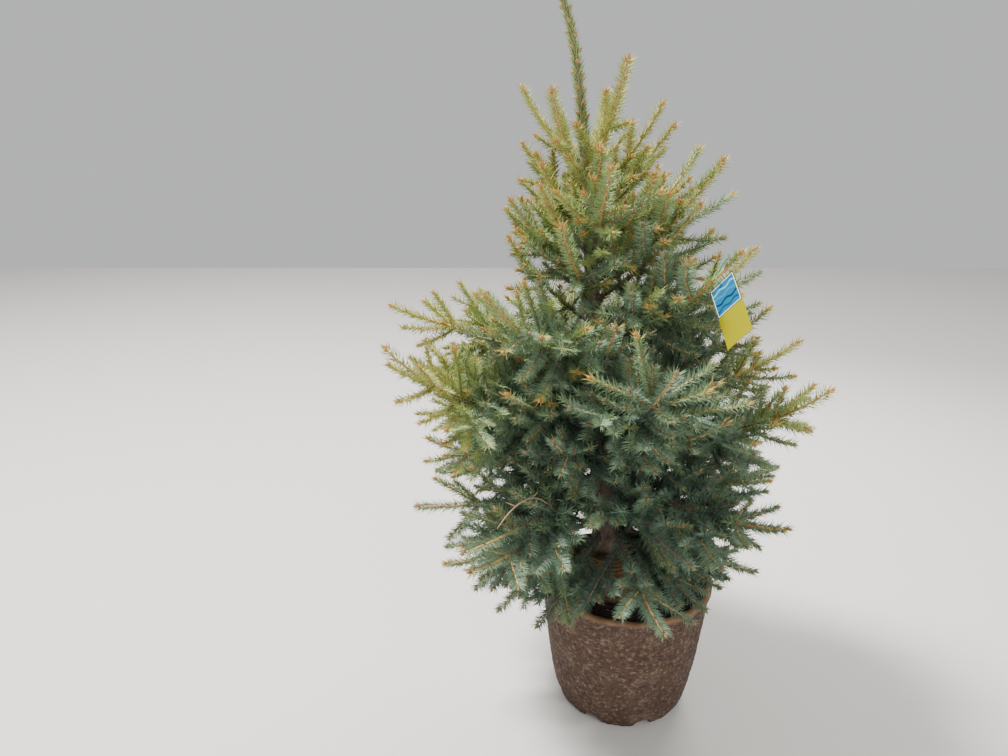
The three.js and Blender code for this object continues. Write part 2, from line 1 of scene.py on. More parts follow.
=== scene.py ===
# A potted blue spruce, dressed round its solids: needles, twigs, buds, bark, fibre pot, soil and hang tag.
# Metres, +Z up, in the frame of the solids.
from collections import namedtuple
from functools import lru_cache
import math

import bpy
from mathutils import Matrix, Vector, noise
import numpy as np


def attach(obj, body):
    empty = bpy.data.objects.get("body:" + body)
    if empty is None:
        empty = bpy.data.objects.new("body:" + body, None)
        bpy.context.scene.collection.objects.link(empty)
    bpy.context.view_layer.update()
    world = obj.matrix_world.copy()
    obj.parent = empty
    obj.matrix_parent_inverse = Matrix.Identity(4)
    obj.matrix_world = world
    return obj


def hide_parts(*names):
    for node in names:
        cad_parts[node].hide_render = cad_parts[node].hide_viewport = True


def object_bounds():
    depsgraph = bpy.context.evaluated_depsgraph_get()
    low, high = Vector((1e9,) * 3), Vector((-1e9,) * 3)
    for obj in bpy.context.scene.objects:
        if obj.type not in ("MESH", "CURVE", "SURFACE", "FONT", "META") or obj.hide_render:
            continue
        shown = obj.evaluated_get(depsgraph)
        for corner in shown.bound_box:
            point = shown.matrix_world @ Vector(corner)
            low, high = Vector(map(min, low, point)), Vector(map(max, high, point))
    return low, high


bl_info = {
    "name": "Potted blue spruce",
    "version": (1, 0, 0),
    "blender": (4, 5, 0),
    "location": "View3D > Sidebar > Spruce",
    "description": "Grows the twigs, needles and buds of a potted spruce and finishes its pot, soil and tag",
    "category": "Object",
}

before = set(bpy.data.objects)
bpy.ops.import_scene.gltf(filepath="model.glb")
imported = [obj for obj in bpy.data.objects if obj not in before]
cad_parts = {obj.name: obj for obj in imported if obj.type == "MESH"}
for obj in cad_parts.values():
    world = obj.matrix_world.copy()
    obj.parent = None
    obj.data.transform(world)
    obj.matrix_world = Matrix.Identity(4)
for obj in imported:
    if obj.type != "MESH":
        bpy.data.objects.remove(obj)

CAD_BOX = [list(corner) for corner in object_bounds()]
BODY = "root"
MM = 0.001
UP = np.array([0.0, 0.0, 1.0])
GOLDEN_ANGLE = math.radians(137.5)


def linear(code):
    """The linear colour of an sRGB hex code such as "#5f7a58"."""
    channels = [int(code[k:k + 2], 16) / 255 for k in (1, 3, 5)]
    return tuple(c / 12.92 if c <= 0.04045 else ((c + 0.055) / 1.055) ** 2.4 for c in channels)


def length(name, description, default):
    return bpy.props.FloatProperty(name=name, description=description, default=default, min=0, unit="LENGTH")


def colour(name, description, code):
    return bpy.props.FloatVectorProperty(
        name=name, description=description, default=linear(code), min=0, max=1, subtype="COLOR"
    )


class SprucePot(bpy.types.PropertyGroup):
    """Sizes and colours of the pot and its filling."""

    height: length("Pot height", "From the foot to the rim", 0.370)
    rim_radius: length("Rim radius", "Outside the wall at the rim, without the lip", 0.226)
    foot_radius: length("Foot radius", "Outside the wall at the foot", 0.161)
    wall: length("Wall", "Thickness of the pressed fibre wall", 0.011)
    pulp_relief: length("Pulp relief", "Height of the pressed pulp's lumps", 0.0046)
    soil_level: length("Soil level", "Height of the soil at the wall", 0.336)
    clod_height: length("Clod height", "Height of the soil's clods", 0.012)
    fibre_dark: colour("Damp fibre", "The darkest of the pot's fibres", "#231a15")
    fibre_mid: colour("Fibre", "The pot's main brown", "#46372e")
    fibre_pale: colour("Dry fibre", "The palest of the pot's fibres", "#8f7a66")
    # The rim colour is mixed in over the top of the rim, so the pot is paler towards the rim.
    fibre_rim: colour("Rim", "The worn edge of the rim", "#94714f")
    soil_dark: colour("Damp soil", "Soil in the hollows", "#17120e")
    soil_pale: colour("Dry soil", "Soil on top of the clods", "#43362c")
    burlap: colour("Burlap", "The wrapped root ball", "#6b4c35")


class SpruceFoliage(bpy.types.PropertyGroup):
    """Sizes and colours of the needles, twigs and buds."""

    needle_length: length("Needle length", "Longest needles, in the middle of a shoot", 0.026)
    needle_width: length("Needle width", "Across a needle at its foot", 0.0028)
    needles_per_metre: bpy.props.IntProperty(
        name="Needles per metre", description="Needles on a metre of shoot", default=1060, min=1
    )
    needle_lean: bpy.props.FloatProperty(
        name="Needle lean",
        description="Between a needle and its twig",
        default=math.radians(58),
        subtype="ANGLE",
    )
    upsweep: bpy.props.FloatProperty(
        name="Upsweep", description="How far the lower needles sweep up", default=0.16, subtype="FACTOR"
    )
    parting: bpy.props.FloatProperty(
        name="Parting", description="How far needles part to show the shoot", default=0.54, subtype="FACTOR"
    )
    bud_length: length("Bud length", "The bud at the end of a strong shoot", 0.0105)
    bud_radius: length("Bud radius", "The same bud across its middle", 0.0033)
    # The needle colours from shade to straw are steps of painted light and shade, dealt to each spray by
    # where it stands towards the sun and the crown's edge, with a little chance; gold is a painted highlight
    # at lit tips.
    shade: colour("Deep shade", "Needles in the heart of the tree", "#3c4f42")
    deep: colour("Deep green", "Older needles", "#4d6653")
    blue: colour("Blue green", "Needles with most of their wax", "#5c755d")
    glaucous: colour("Glaucous", "Waxy needles near the outside", "#6a8264")
    green: colour("Green", "Needles in half light", "#6f875f")
    olive: colour("Olive", "Needles in the light", "#82955d")
    sunlit: colour("Sunlit", "Needles at the lit tips", "#8c9f55")
    gold: colour("Golden tips", "Needles round the buds at the lit tips", "#b9a04a")
    straw: colour("Straw", "The brightest tips", "#9ea556")
    # Shaded wood and shaded bud are darker copies of young wood and bud: painted shade on sprays that stand
    # in the shade.
    young_wood: colour("Young wood", "Last year's shoots", "#bd985c")
    shaded_wood: colour("Shaded wood", "Last year's shoots in the shade", "#83705a")
    old_wood: colour("Old wood", "Older twigs", "#6b5a4c")
    bud: colour("Bud", "Papery bud scales", "#b98f5a")
    shaded_bud: colour("Shaded bud", "Bud scales in the shade", "#86724f")
    bark: colour("Bark", "The trunk's plates", "#6a5b4f")


class SpruceTag(bpy.types.PropertyGroup):
    """Sizes and colours of the hang tag."""

    width: length("Tag width", "Across the tag", 0.072)
    height: length("Tag length", "Along the tag", 0.146)
    curl: length("Curl", "How far the tag's foot bends out of flat", 0.006)
    field: colour("Field", "The tag's lower field", "#8a8500")
    panel: colour("Panel", "The tag's upper panel", "#185f84")
    panel_edge: colour("Panel edge", "The band round the panel", "#14323f")
    tie: colour("Tie", "The soft plastic tie", "#1d9a6a")


class SpruceStage(bpy.types.PropertyGroup):
    """The camera, the lights and the floor."""

    focal: bpy.props.FloatProperty(
        name="Focal length",
        description="Millimetres on a 36 mm sensor",
        default=27.04,
        subtype="DISTANCE_CAMERA",
    )
    pitch: bpy.props.FloatProperty(
        name="Pitch", description="How far down the camera looks", default=math.radians(18), subtype="ANGLE"
    )
    eye: bpy.props.FloatVectorProperty(
        name="Eye",
        description="Where the camera stands",
        default=(-0.330, -1.799, 1.508),
        subtype="TRANSLATION",
    )
    floor: colour("Floor", "The plain pale floor", "#c8c5bf")
    sky: colour("Surround", "The even light all round", "#edeeef")


# The whorls and the rule by which they grow, as the solids have them
Whorl = namedtuple("Whorl", "name height count turn reach rise bare years lop climb_right climb_front")
WHORLS = [
    Whorl("crown", 1.386, 5, 8, 0.285, (44, 50, 60), 0.0, 1, 0.06, 0, 0),
    Whorl("upper", 1.185, 6, -30, 0.365, (36, 44, 54), 0.0, 2, 0.16, 0, 0),
    Whorl("shoulder", 1.018, 5, 20, 0.490, (0, 21, 38), 0.110, 3, 0.0, 13, 11),
    Whorl("middle", 0.815, 6, -30, 0.575, (4, 8, 44), 0.120, 4, -0.04, 0, 10),
    Whorl("lower", 0.668, 5, 18, 0.505, (-4, -11, 20), 0.120, 4, 0.02, 0, 0),
    Whorl("skirt", 0.556, 5, -18, 0.440, (-10, -33, -4), 0.110, 3, -0.06, 0, 11),
]
# The boughs that stand between the whorls and fill the heart of the crown. They reach less far.
INNER = [
    Whorl("inner_crown", 1.305, 6, 40, 0.245, (42, 50, 58), 0.0, 2, 0.10, 0, 0),
    Whorl("inner_neck", 1.205, 6, -4, 0.300, (30, 44, 56), 0.0, 2, 0.12, 0, 0),
    Whorl("inner_upper", 1.105, 6, 5, 0.335, (30, 42, 54), 0.0, 2, 0.10, 0, 0),
    Whorl("inner_shoulder", 0.925, 5, -22, 0.405, (14, 28, 44), 0.0, 3, 0.18, 0, 0),
    Whorl("inner_arm", 0.860, 5, 2, 0.450, (8, 20, 36), 0.0, 3, 0.14, 0, 0),
    Whorl("inner_middle", 0.745, 6, 8, 0.410, (8, 18, 42), 0.0, 3, 0.10, 0, 0),
    Whorl("inner_lower", 0.660, 7, -26, 0.480, (-5, -8, 6), 0.0, 3, -0.06, 0, 0),
    Whorl("inner_skirt", 0.520, 6, 0, 0.335, (-6, -34, -22), 0.0, 3, 0.0, 0, 0),
]
STRAY = 9
STAGGER = 0.045
SWAY = 14
TILT = 5
REACH_SPREAD = 0.07
PATH_STEPS = 12
BOUGH_TIP_RADIUS = 0.0032
BOUGH_LEAST_RADIUS = 0.0026
BOUGH_THICKENING = 0.0125
SIDE_RATIO = 0.86
HALF_YEAR_RATIO = 0.55
SIDE_LONGEST = 0.240
SIDE_SHORTEST = 0.074
SIDE_ANGLE = 50
SIDE_ANGLE_SPREAD = 7
SIDE_LENGTH_SPREAD = 0.12
SIDE_TURN_IN = 0.35
SIDE_LIFT = 0.16
NODE_ROLL = (-24, 24)
HALF_YEAR_ROLL = (50, 100)
TWIG_STEPS = 6
FOOT_SHARE = 0.2
STEM_BARE = 0.062
NEEDLE_FIN = 0.0259
CLEARANCE = 0.001

# Finer twigs, which grow by the same rule on the side twigs
FINE_SHORTEST = 0.066
FINE_LONGEST = 0.160
FINE_ROLL = (-34, 34)
FINE_RATIO = 0.5
SECOND_ROLL = 78
SECOND_RATIO = 0.6
FINE_ROOM = 0.006
FINE_NEIGHBOUR = 0.007
FINE_FOOT_SHARE = 0.3
FINE_FROM = 0.016
DEEPEST_ORDER = 3
BOX_ROOM = 0.016

# How the seeds count on: by whorl, by the twigs of a stem, by pair, and from where for the finer twigs and
# for the boughs between the whorls
WHORL_SEEDS = 100
TWIG_SEEDS = 40
PAIR_SEEDS = 4
FIRST_FINE_SEED = 170
FIRST_INNER = 11

# Twigs, needles and buds by the twig's order, counted from the bough's own stem
TWIG_RADII = {1: 0.0034, 2: 0.0026, 3: 0.0019}
TWIG_TAPER = 0.6
STEM_TIP_RADIUS = 0.0026
STEM_SHARE = 0.9
POINT_RADIUS = 0.0004
TUBE_STEPS = {0: 12, 1: 6, 2: 3, 3: 3}
TUBE_SIDES = {0: 6, 1: 5, 2: 4, 3: 4}
NEEDLE_SHARE = {0: 1.3, 1: 1.25, 2: 1.0, 3: 0.8}
BUD_SHARE = {0: 1.2, 1: 1.05, 2: 0.6, 3: 0.5}
BUD_SIDES = {0: 5, 1: 5, 2: 4, 3: 4}
CLUSTER_BUDS = {0: 4, 1: 4, 2: 0, 3: 0}
SIDE_BUDS = {0: 7, 1: 2, 2: 0, 3: 0}
SIDE_BUD_STRETCH = 0.17
SEASON_ROOM = 0.005

# A bud's shape from foot to tip, how buds spread ahead and aside, and their sizes as shares of the tip's bud
BUD_MARKS = (0.0, 0.42, 1.0)
BUD_SWELL = (0.62, 1.0, 0.05)
BUD_SEAT = 0.6
CLUSTER_SPREAD = (0.75, 0.9)
CLUSTER_SIZE = (0.8, 0.85)
CLUSTER_STEP = 0.003
SIDE_BUD_SPREAD = (0.7, 1)
SIDE_BUD_SIZE = 0.9

# How needles stand on a shoot
NEEDLED_STRETCH = 0.215
TWIG_BARE = 0.010
TIP_BARE = 0.002
NEEDLE_PLACE_SPREAD = (0.2, 0.8)
NEEDLE_TURN_SPREAD = 0.25
NEEDLE_LEAN_SPREAD = 0.12
TIP_LEAN = 0.45
TIP_LEAN_STRETCH = 0.012
SWEEP_FROM = 0.25
SWEEP_MOST = 1.25
NEEDLE_SIZE_SPREAD = (0.82, 1.04)
SHORT_NEEDLE = 0.70
NEEDLE_GAIN = 0.30
NEEDLE_DEPTH = 0.7

# Where the light falls in the crown, and which colour each twig has from it: steps of painted light and
# shade, dealt out as plain colours
CROWN_CENTRE = (-0.09, 0.03, 0.90)
CROWN_REACH = (0.50, 0.50, 0.60)
SUN = (-0.34, 0.42, 0.84)
LIT_MIDDLE = 0.50
LIT_BY_SUN = 0.36
LIT_BY_REACH = 0.30
REACH_MIDDLE = 0.75
TONE_SPREAD = 0.32
EDGE_LIGHT = 1.7
EDGE_START = 0.5
EDGE_LOW = 0.6
STEM_TONE_AT = 0.85
TWIG_TONE_AT = 0.6
TONES = 8
GOLD_HIGHLIGHT = 8
TIP_TUFT = 0.024
GOLDEN_TIP = 0.008
GOLDEN_SHARE = {0: 1.0, 1: 0.7, 2: 0.15, 3: 0.0}
GOLDEN_LEAST = {0: 3, 1: 4, 2: 4, 3: 4}
LIT_WOOD_LEAST = {0: 2, 1: 2, 2: 4, 3: 4}
LIT_BUD_LEAST = 4

# The spray that stands up towards the camera at the end of the front bough
FRONT_BOUGH = "middle_6"
FRONT_NODE = 0.75
FRONT_TIPS = ((-0.074, -0.385, 1.136), (-0.166, -0.429, 1.063), (0.080, -0.393, 1.078))
FRONT_SEED = 5203

# The gap in front of the trunk's foot, between the lower boughs, and the room that side twigs and finer ones
# leave at the pot's rim. Only the finer twigs keep out of the gap.
FOOT_GAP_X = (-0.080, -0.025)
FOOT_GAP_NEAR = (-0.10, 0.50)
FOOT_GAP_AIM = (-0.136, -0.854, 0.502)
FOOT_GAP_LENGTH = 0.40
FOOT_GAP_RADIUS = 0.042
ONLY_FINE = -1.0
RIM_ROOM = (0.015, 0.010)

# The dead twig on a low bough
DEAD_BOUGH = "lower_4"
DEAD_START = 0.20
DEAD_ARCH = (-0.262, -0.235, 0.775)
DEAD_TIP = (-0.345, -0.376, 0.710)
DEAD_RADII = (0.0030, 0.0014)
DEAD_STUBS = ((6, (0.012, -0.010, 0.020)), (9, (-0.022, 0.004, 0.008)))
STUB_RADII = (0.0016, 0.0014, 0.0011, 0.0003)

# The trunk
TRUNK_FOOT = 0.4506
TRUNK_TIP = 1.822
TRUNK_X = -0.055
TRUNK_LEAN = 0.123
LEADER_LEAN = 0.044
LEADER_BEND = 14
TRUNK_RADIUS = 0.0355
TIP_RADIUS = 0.0045
TRUNK_TAPER = 1.25
FLARE = 0.011
FLARE_HEIGHT = 0.030
FLARE_LOBES = 5
LOBE_SHARE = 0.35
LEADER_BASE = 1.45
LEADER_STRETCHES = 24
LEADER_LEANS = (46, 42)
LEADER_TONE = 5
LEADER_SIZES = (0.95, 0.88)
LEADER_NEEDLES = 1.8
LEADER_SEED = 9000
LEADER_BUDS = 32
LEADER_BUD_PLACES = (0.06, 0.97)
LEADER_BUD_SIZE = (1.6, 1.35)
LEADER_TIP_BUDS = 6
LEADER_TIP_SPREAD = (0.7, 1.2)
LEADER_TIP_SWELL = 1.3

# The bark's relief: swellings at the whorls, plates, and the collars of the limbs
SWELL = 0.06
SWELL_HEIGHT = 0.03
PLATE_SCALE = (75, 75, 30)
PLATE_RELIEF = 0.085
LIMB_COLLAR = 0.55
COLLAR_STRETCH = 0.012
LIMB_SCALE = 90
LIMB_RELIEF = 0.14

# The pot's lip as steps up or down and out, from its foot, from the rim and from the rim's inside. The lumps
# of its pulp as size, share of the relief and depth. The notches in its foot.
POT_LIP = 0.020
LIP_FOOT = ((0.002, 0.003), (0.005, 0.005))
LIP_OUTSIDE = ((0.010, 0.0052), (0.004, 0.0048), (0.001, 0.002), (0.0, -0.002))
LIP_INSIDE = ((0.001, 0.002), (0.004, 0.0))
PULP_LUMPS = ((0.026, 1.0, 3), (0.008, 0.75, 4))
LIP_WAVES = ((5, 0.0016, 0.6), (13, 0.0011, 0.0), (29, 0.0008, 0.0))
LIP_DROP = 0.0032
FLOOR_TOP = 0.038
NOTCHES = 8
NOTCH_TURN = -77.5
NOTCH_RADIUS = 0.026
NOTCH_TALL = 1.15
NOTCH_DEPTH = 0.072

# The root ball and the soil round it
BALL_BASE = 0.3463
BALL_HEIGHT = 0.104
BALL_RADII = (0.112, 0.052)
BALL_SHOULDER = 1.6
BURLAP_SCALE = (26, 26, 150)
BURLAP_RELIEF = 0.0026
BURLAP_SINK = 0.001
BALL_FIBRES = 190
FIBRE_RADII = (0.0006, 0.0013)
SOIL_GAP = 0.0006
SOIL_INNER = (0.346, 0.100)
CLOD_SCALE = 34
CLOD_SINK = 0.003
CLOD_EDGE = 0.012
SOIL_CHIPS = 900
CHIP_MILLIMETRES = ((1.5, 5.5), (1, 2.5), (0.7, 1.6))
PALE_CHIPS = 0.45

# The tag's place, as the solids have it
TAG_BOUGH = "shoulder_5"
TAG_ALONG = 0.407
TAG_CLEAR = 0.040
TAG_DOWN = (0.1, -0.773, -0.625)
TAG_ACROSS = (0.426, -0.535, 0.73)
TAG_VIEW = (-0.28, -0.94, 0.21)
TAG_VIEW_ROOM = 0.046
TAG_THICK = 0.0012
TAG_HOLE_RADIUS = 0.0045
TAG_HOLE_DOWN = 0.009
TIE_LOOP_RADIUS = 0.014
TIE_DROP = 0.0095
TIE_RADIUS = 0.0012
TIE_TAIL = 0.040
TIE_TAIL_LIFT = 0.35
TIE_BITE = 0.0006
SHEET_SHARE = 0.7
PANEL_SHARE = 0.48
PANEL_MARGIN = 0.0004
PANEL_BAND = 0.0020
PANEL_LINE = 0.0013
PRINT_LIFT = 0.00008
WAVE_TINTS = ("#11455c", "#0e3343", "#2b7690", "#5aa0b4")
WAVE_FIRST = 0.008
WAVE_PITCH = 0.0135
WAVE_BAND = 0.0045
WAVE_SWING = 0.0022
WAVE_TURN = 190
WAVE_SHIFT = 300

# The even light all round, and each lamp with its place, its size and its power
SKY_STRENGTH = 0.70
LAMPS = (
    ("key", (-3.3, 0.4, 6.85), 1.6, 1500),
    ("fill", (1.2, -3.4, 2.6), 2.4, 105),
    ("rim", (1.2, 2.3, 2.6), 1.6, 110),
)
LAMPS_AIM = (-0.1, 0, 0.95)

Bough = namedtuple("Bough", "name whorl seed path reach")
Twig = namedtuple("Twig", "path length years order seed bough")


def chance(seed, k):
    """A repeatable number from 0 to 1 for the k-th choice of the twig numbered seed."""
    mixed = math.sin(seed * 12.9898 + k * 78.233) * 43758.5453
    return mixed - math.floor(mixed)


def between(low, high, share):
    return low + (high - low) * share


def unit(vector):
    return vector / np.linalg.norm(vector)


def heading(turn, rise):
    """The unit vector that bears by turn degrees from +X and rises by rise degrees."""
    turn, rise = math.radians(turn), math.radians(rise)
    level = math.cos(rise)
    return np.array([level * math.cos(turn), level * math.sin(turn), math.sin(rise)])


def grow(start, headings, reach, steps):
    """A path of equal steps whose direction turns smoothly through three headings."""
    share = ((np.arange(steps) + 0.5) / steps)[:, None]
    first, second, third = headings
    directions = first * (1 - share) ** 2 + second * 2 * share * (1 - share) + third * share ** 2
    directions /= np.linalg.norm(directions, axis=1, keepdims=True)
    return np.vstack([start, start + np.cumsum(directions * reach / steps, axis=0)])


def along(path, distances):
    """The points and the directions on a path at distances along it."""
    distances = np.atleast_1d(np.asarray(distances, dtype=float))
    spans = np.linalg.norm(np.diff(path, axis=0), axis=1)
    starts = np.concatenate([[0], np.cumsum(spans)[:-1]])
    at = np.clip(np.searchsorted(starts, distances, side="right") - 1, 0, len(spans) - 1)
    directions = (path[at + 1] - path[at]) / spans[at][:, None]
    return path[at] + directions * (distances - starts[at])[:, None], directions


def square_to(directions):
    """For each direction a level unit vector square to it, and one that points as far up as it can."""
    level = np.cross(directions, UP)
    size = np.linalg.norm(level, axis=-1, keepdims=True)
    level = np.where(size < 0.05, np.array([1.0, 0.0, 0.0]), level / np.maximum(size, 1e-9))
    top = np.cross(level, directions)
    return level, top / np.linalg.norm(top, axis=-1, keepdims=True)


def trunk_at(height):
    """The trunk's centre at a height and its radius there, with the flare at its foot."""
    t = (height - TRUNK_FOOT) / (TRUNK_TIP - TRUNK_FOOT)
    centre = np.array([TRUNK_X - TRUNK_LEAN * t - LEADER_LEAN * t ** LEADER_BEND, 0.0, height])
    flare = FLARE * math.exp((TRUNK_FOOT - height) / FLARE_HEIGHT)
    radius = TIP_RADIUS + (TRUNK_RADIUS - TIP_RADIUS) * max(0.0, 1 - t) ** TRUNK_TAPER
    return centre, radius + flare


def pot_radius(height):
    pot = bpy.context.scene.spruce_pot
    return pot.foot_radius + (pot.rim_radius - pot.foot_radius) * math.sqrt(max(height, 0) / pot.height)


def grow_boughs(whorls=WHORLS, first=1):
    """Every bough of every whorl, with its path from the trunk's centre line."""
    boughs = []
    for w, whorl in enumerate(whorls):
        for k in range(whorl.count):
            seed = WHORL_SEEDS * (w + first) + k
            turn = whorl.turn + 360 * k / whorl.count + between(-STRAY, STRAY, chance(seed, 1))
            to_right = math.cos(math.radians(turn))
            to_front = -math.sin(math.radians(turn))
            reach = whorl.reach * (1 + whorl.lop * to_right)
            reach *= 1 + between(-REACH_SPREAD, REACH_SPREAD, chance(seed, 2))
            height = whorl.height + between(-STAGGER, STAGGER, (2 * k % whorl.count) / whorl.count)
            sway = between(-SWAY, SWAY, chance(seed, 3))
            climb = whorl.climb_right * to_right + whorl.climb_front * to_front
            climb += between(-TILT, TILT, chance(seed, 4))
            headings = [heading(turn + sway * at / 2, rise + climb) for at, rise in enumerate(whorl.rise)]
            path = grow(trunk_at(height)[0], headings, reach, PATH_STEPS)
            boughs.append(Bough(f"{whorl.name}_{k + 1}", whorl, seed, path, reach))
    return boughs


def bough_radius(bough, distance):
    root = BOUGH_LEAST_RADIUS + BOUGH_THICKENING * bough.reach
    return between(root, BOUGH_TIP_RADIUS, distance / bough.reach)


def twig_pair(stem, distance, reach, tilt, seed):
    """A pair of twigs that leave a stem to either side, in a plane rolled about the stem."""
    points, directions = along(stem, distance)
    point, direction = points[0], directions[0]
    level, top = square_to(direction)
    roll = math.radians(tilt)
    aside = level * math.cos(roll) + top * math.sin(roll)
    for side in (-1, 1):
        own = seed + (side + 1) // 2
        spread = between(-SIDE_ANGLE_SPREAD, SIDE_ANGLE_SPREAD, chance(own, 1))
        angle = math.radians(SIDE_ANGLE + spread)
        first = unit(direction * math.cos(angle) + aside * side * math.sin(angle))
        last = unit(first + direction * SIDE_TURN_IN + UP * SIDE_LIFT)
        grown = reach * between(1 - SIDE_LENGTH_SPREAD, 1 + SIDE_LENGTH_SPREAD, chance(own, 3))
        yield own, grown, grow(point, [first, first, last], grown, TWIG_STEPS)


def side_twigs(stem, shortest, longest, bare, rolls):
    """The side twigs of a stem, from its tip back: long ones at the end of each year's growth, and shorter
    ones halfway between."""
    season = stem.length / stem.years
    for half in range(2 * stem.years - 1, 0, -1):
        distance = season * half / 2
        at_node = half % 2 == 0
        ratio = SIDE_RATIO if at_node else HALF_YEAR_RATIO
        reach = min(longest, ratio * (stem.length - distance))
        if distance < bare or reach < shortest:
            continue
        if stem.order > 0 and half == 2 * stem.years - 1:
            continue
        seed = stem.seed * TWIG_SEEDS + half * PAIR_SEEDS
        tilt = between(*rolls[0 if at_node else 1], chance(seed, 5))
        years = max(1, math.ceil(stem.years - half / 2))
        for own, grown, path in twig_pair(stem.path, distance, reach, tilt, seed):
            yield Twig(path, grown, years, stem.order + 1, own, stem.bough)


class Space:
    """The space that is taken: straight stretches, each with its radius and the piece that it is part of."""

    def __init__(self):
        self.starts = np.zeros((0, 3))
        self.ends = np.zeros((0, 3))
        self.wide = np.zeros(0)
        self.tight = np.zeros(0)
        self.owners = []
        self.codes = np.zeros(0, dtype=int)

    def claim(self, path, wide, tight, owner):
        """Takes the space round a path: a wide radius for the side twigs and a tight one for finer twigs."""
        if owner not in self.owners:
            self.owners.append(owner)
        count = len(path) - 1
        self.starts = np.vstack([self.starts, path[:-1]])
        self.ends = np.vstack([self.ends, path[1:]])
        self.wide = np.append(self.wide, np.full(count, wide))
        self.tight = np.append(self.tight, np.full(count, tight))
        self.codes = np.append(self.codes, np.full(count, self.owners.index(owner)))

    def gaps(self, start, end):
        """The least distance from one stretch to each stretch that is taken."""
        u = end - start
        v = self.ends - self.starts
        w = start - self.starts
        uu = u @ u
        uv = v @ u
        vv = np.einsum("ij,ij->i", v, v)
        uw = w @ u
        vw = np.einsum("ij,ij->i", v, w)
        spread = uu * vv - uv * uv
        flat = spread < 1e-15
        s = np.where(flat, 0, np.clip((uv * vw - vv * uw) / np.where(flat, 1, spread), 0, 1))
        t = np.clip((uv * s + vw) / vv, 0, 1)
        s = np.clip((uv * t - uw) / uu, 0, 1)
        return np.linalg.norm(w + u * s[:, None] - v * t[:, None], axis=1)

    def is_clear(self, path, radius, owner, fine=False):
        """Whether a path keeps clear of what other owners have taken."""
        others = self.codes != (self.owners.index(owner) if owner in self.owners else -1)
        need = (self.tight if fine else self.wide)[others] + radius + CLEARANCE
        return all(np.all(self.gaps(a, b)[others] > need) for a, b in zip(path[:-1], path[1:]))


def stretch(path, start, end, steps):
    """The part of a path between two distances along it, in equal steps."""
    return along(path, np.linspace(start, end, steps + 1))[0]


def tag_place():
    """The tie's middle, the tag's hole, the tie's knot and the tag's own directions."""
    bough = next(b for b in grow_boughs() if b.name == TAG_BOUGH)
    stem = along(bough.path, TAG_ALONG)[0][0]
    down = unit(np.array(TAG_DOWN))
    across = np.array(TAG_ACROSS)
    across = unit(across - down * (across @ down))
    loop = stem + down * TIE_DROP
    hole = loop + down * (TIE_LOOP_RADIUS + TAG_HOLE_RADIUS - TIE_RADIUS - TIE_BITE)
    knot = loop - down * TIE_LOOP_RADIUS
    return loop, hole, knot, down, across, np.cross(down, across)


def claim_solids(space, boughs):
    """Takes the space of the pot's rim, the trunk, the boughs and the tag."""
    pot = bpy.context.scene.spruce_pot
    tag = bpy.context.scene.spruce_tag
    turns = np.linspace(0, 2 * math.pi, 33)
    middle = pot.rim_radius - pot.wall / 2
    level = np.full(33, pot.height - POT_LIP / 2)
    rim = np.stack([middle * np.cos(turns), middle * np.sin(turns), level], axis=1)
    space.claim(rim, *RIM_ROOM, "pot")
    heights = np.linspace(TRUNK_FOOT, TRUNK_TIP, 13)
    for low, high in zip(heights[:-1], heights[1:]):
        radius = trunk_at(low)[1]
        space.claim(np.array([trunk_at(low)[0], trunk_at(high)[0]]), radius, radius, "trunk")
    for bough in boughs:
        bare = max(bough.whorl.bare, STEM_BARE)
        radius = bough_radius(bough, 0)
        space.claim(stretch(bough.path, 0, bare, 3), radius, radius, bough.name)
        space.claim(stretch(bough.path, bare, bough.reach, 8), NEEDLE_FIN, FINE_NEIGHBOUR, bough.name)
    loop, hole, knot, down, across, _ = tag_place()
    lane = tag.width / 6
    for k in (-2, 0, 2):
        top = hole + across * k * lane
        space.claim(np.array([top, top + down * tag.height]), lane, lane, "hang_tag")
    for k in (1, 2.2):
        ahead = loop + np.array(TAG_VIEW) * k * TAG_VIEW_ROOM
        space.claim(np.array([ahead, ahead + down * tag.height]), TAG_VIEW_ROOM, TAG_VIEW_ROOM, "hang_tag")
    space.claim(np.array([knot, knot + across * TIE_TAIL]), 2 * TIE_RADIUS, 2 * TIE_RADIUS, "tag_tie")
    for x in FOOT_GAP_X:
        near = np.array([x, *FOOT_GAP_NEAR])
        far = near + np.array(FOOT_GAP_AIM) * FOOT_GAP_LENGTH
        space.claim(np.array([near, far]), ONLY_FINE, FOOT_GAP_RADIUS, "foot_gap")


def finer_twigs(stem, bare):
    """Twigs that the solids leave out: short pairs at the quarters of each year's growth, and at its end a
    second pair, above and below."""
    season = stem.length / stem.years
    for quarter in range(4 * stem.years - 1, 0, -1):
        distance = season * quarter / 4
        at_node = quarter % 4 == 0
        if quarter % 4 == 2 or distance < bare or (stem.order > 0 and quarter > 4 * stem.years - 4):
            continue
        ratio = SECOND_RATIO if at_node else FINE_RATIO
        reach = min(FINE_LONGEST, ratio * (stem.length - distance))
        if reach < FINE_SHORTEST:
            continue
        seed = stem.seed * TWIG_SEEDS + FIRST_FINE_SEED + quarter * PAIR_SEEDS
        tilt = SECOND_ROLL if at_node else between(*FINE_ROLL, chance(seed, 5))
        years = max(1, math.ceil(stem.years - quarter / 4))
        for own, grown, path in twig_pair(stem.path, distance, reach, tilt, seed):
            yield Twig(path, grown, years, stem.order + 1, own, stem.bough)


def bough_bare(bough):
    """How far from the trunk a bough bears no twigs."""
    return max(bough.whorl.bare + 0.012, STEM_BARE)


def stem_of(bough):
    """A bough as the twig of order 0 that its side twigs grow on."""
    return Twig(bough.path, bough.reach, bough.whorl.years, 0, bough.seed, bough.name)


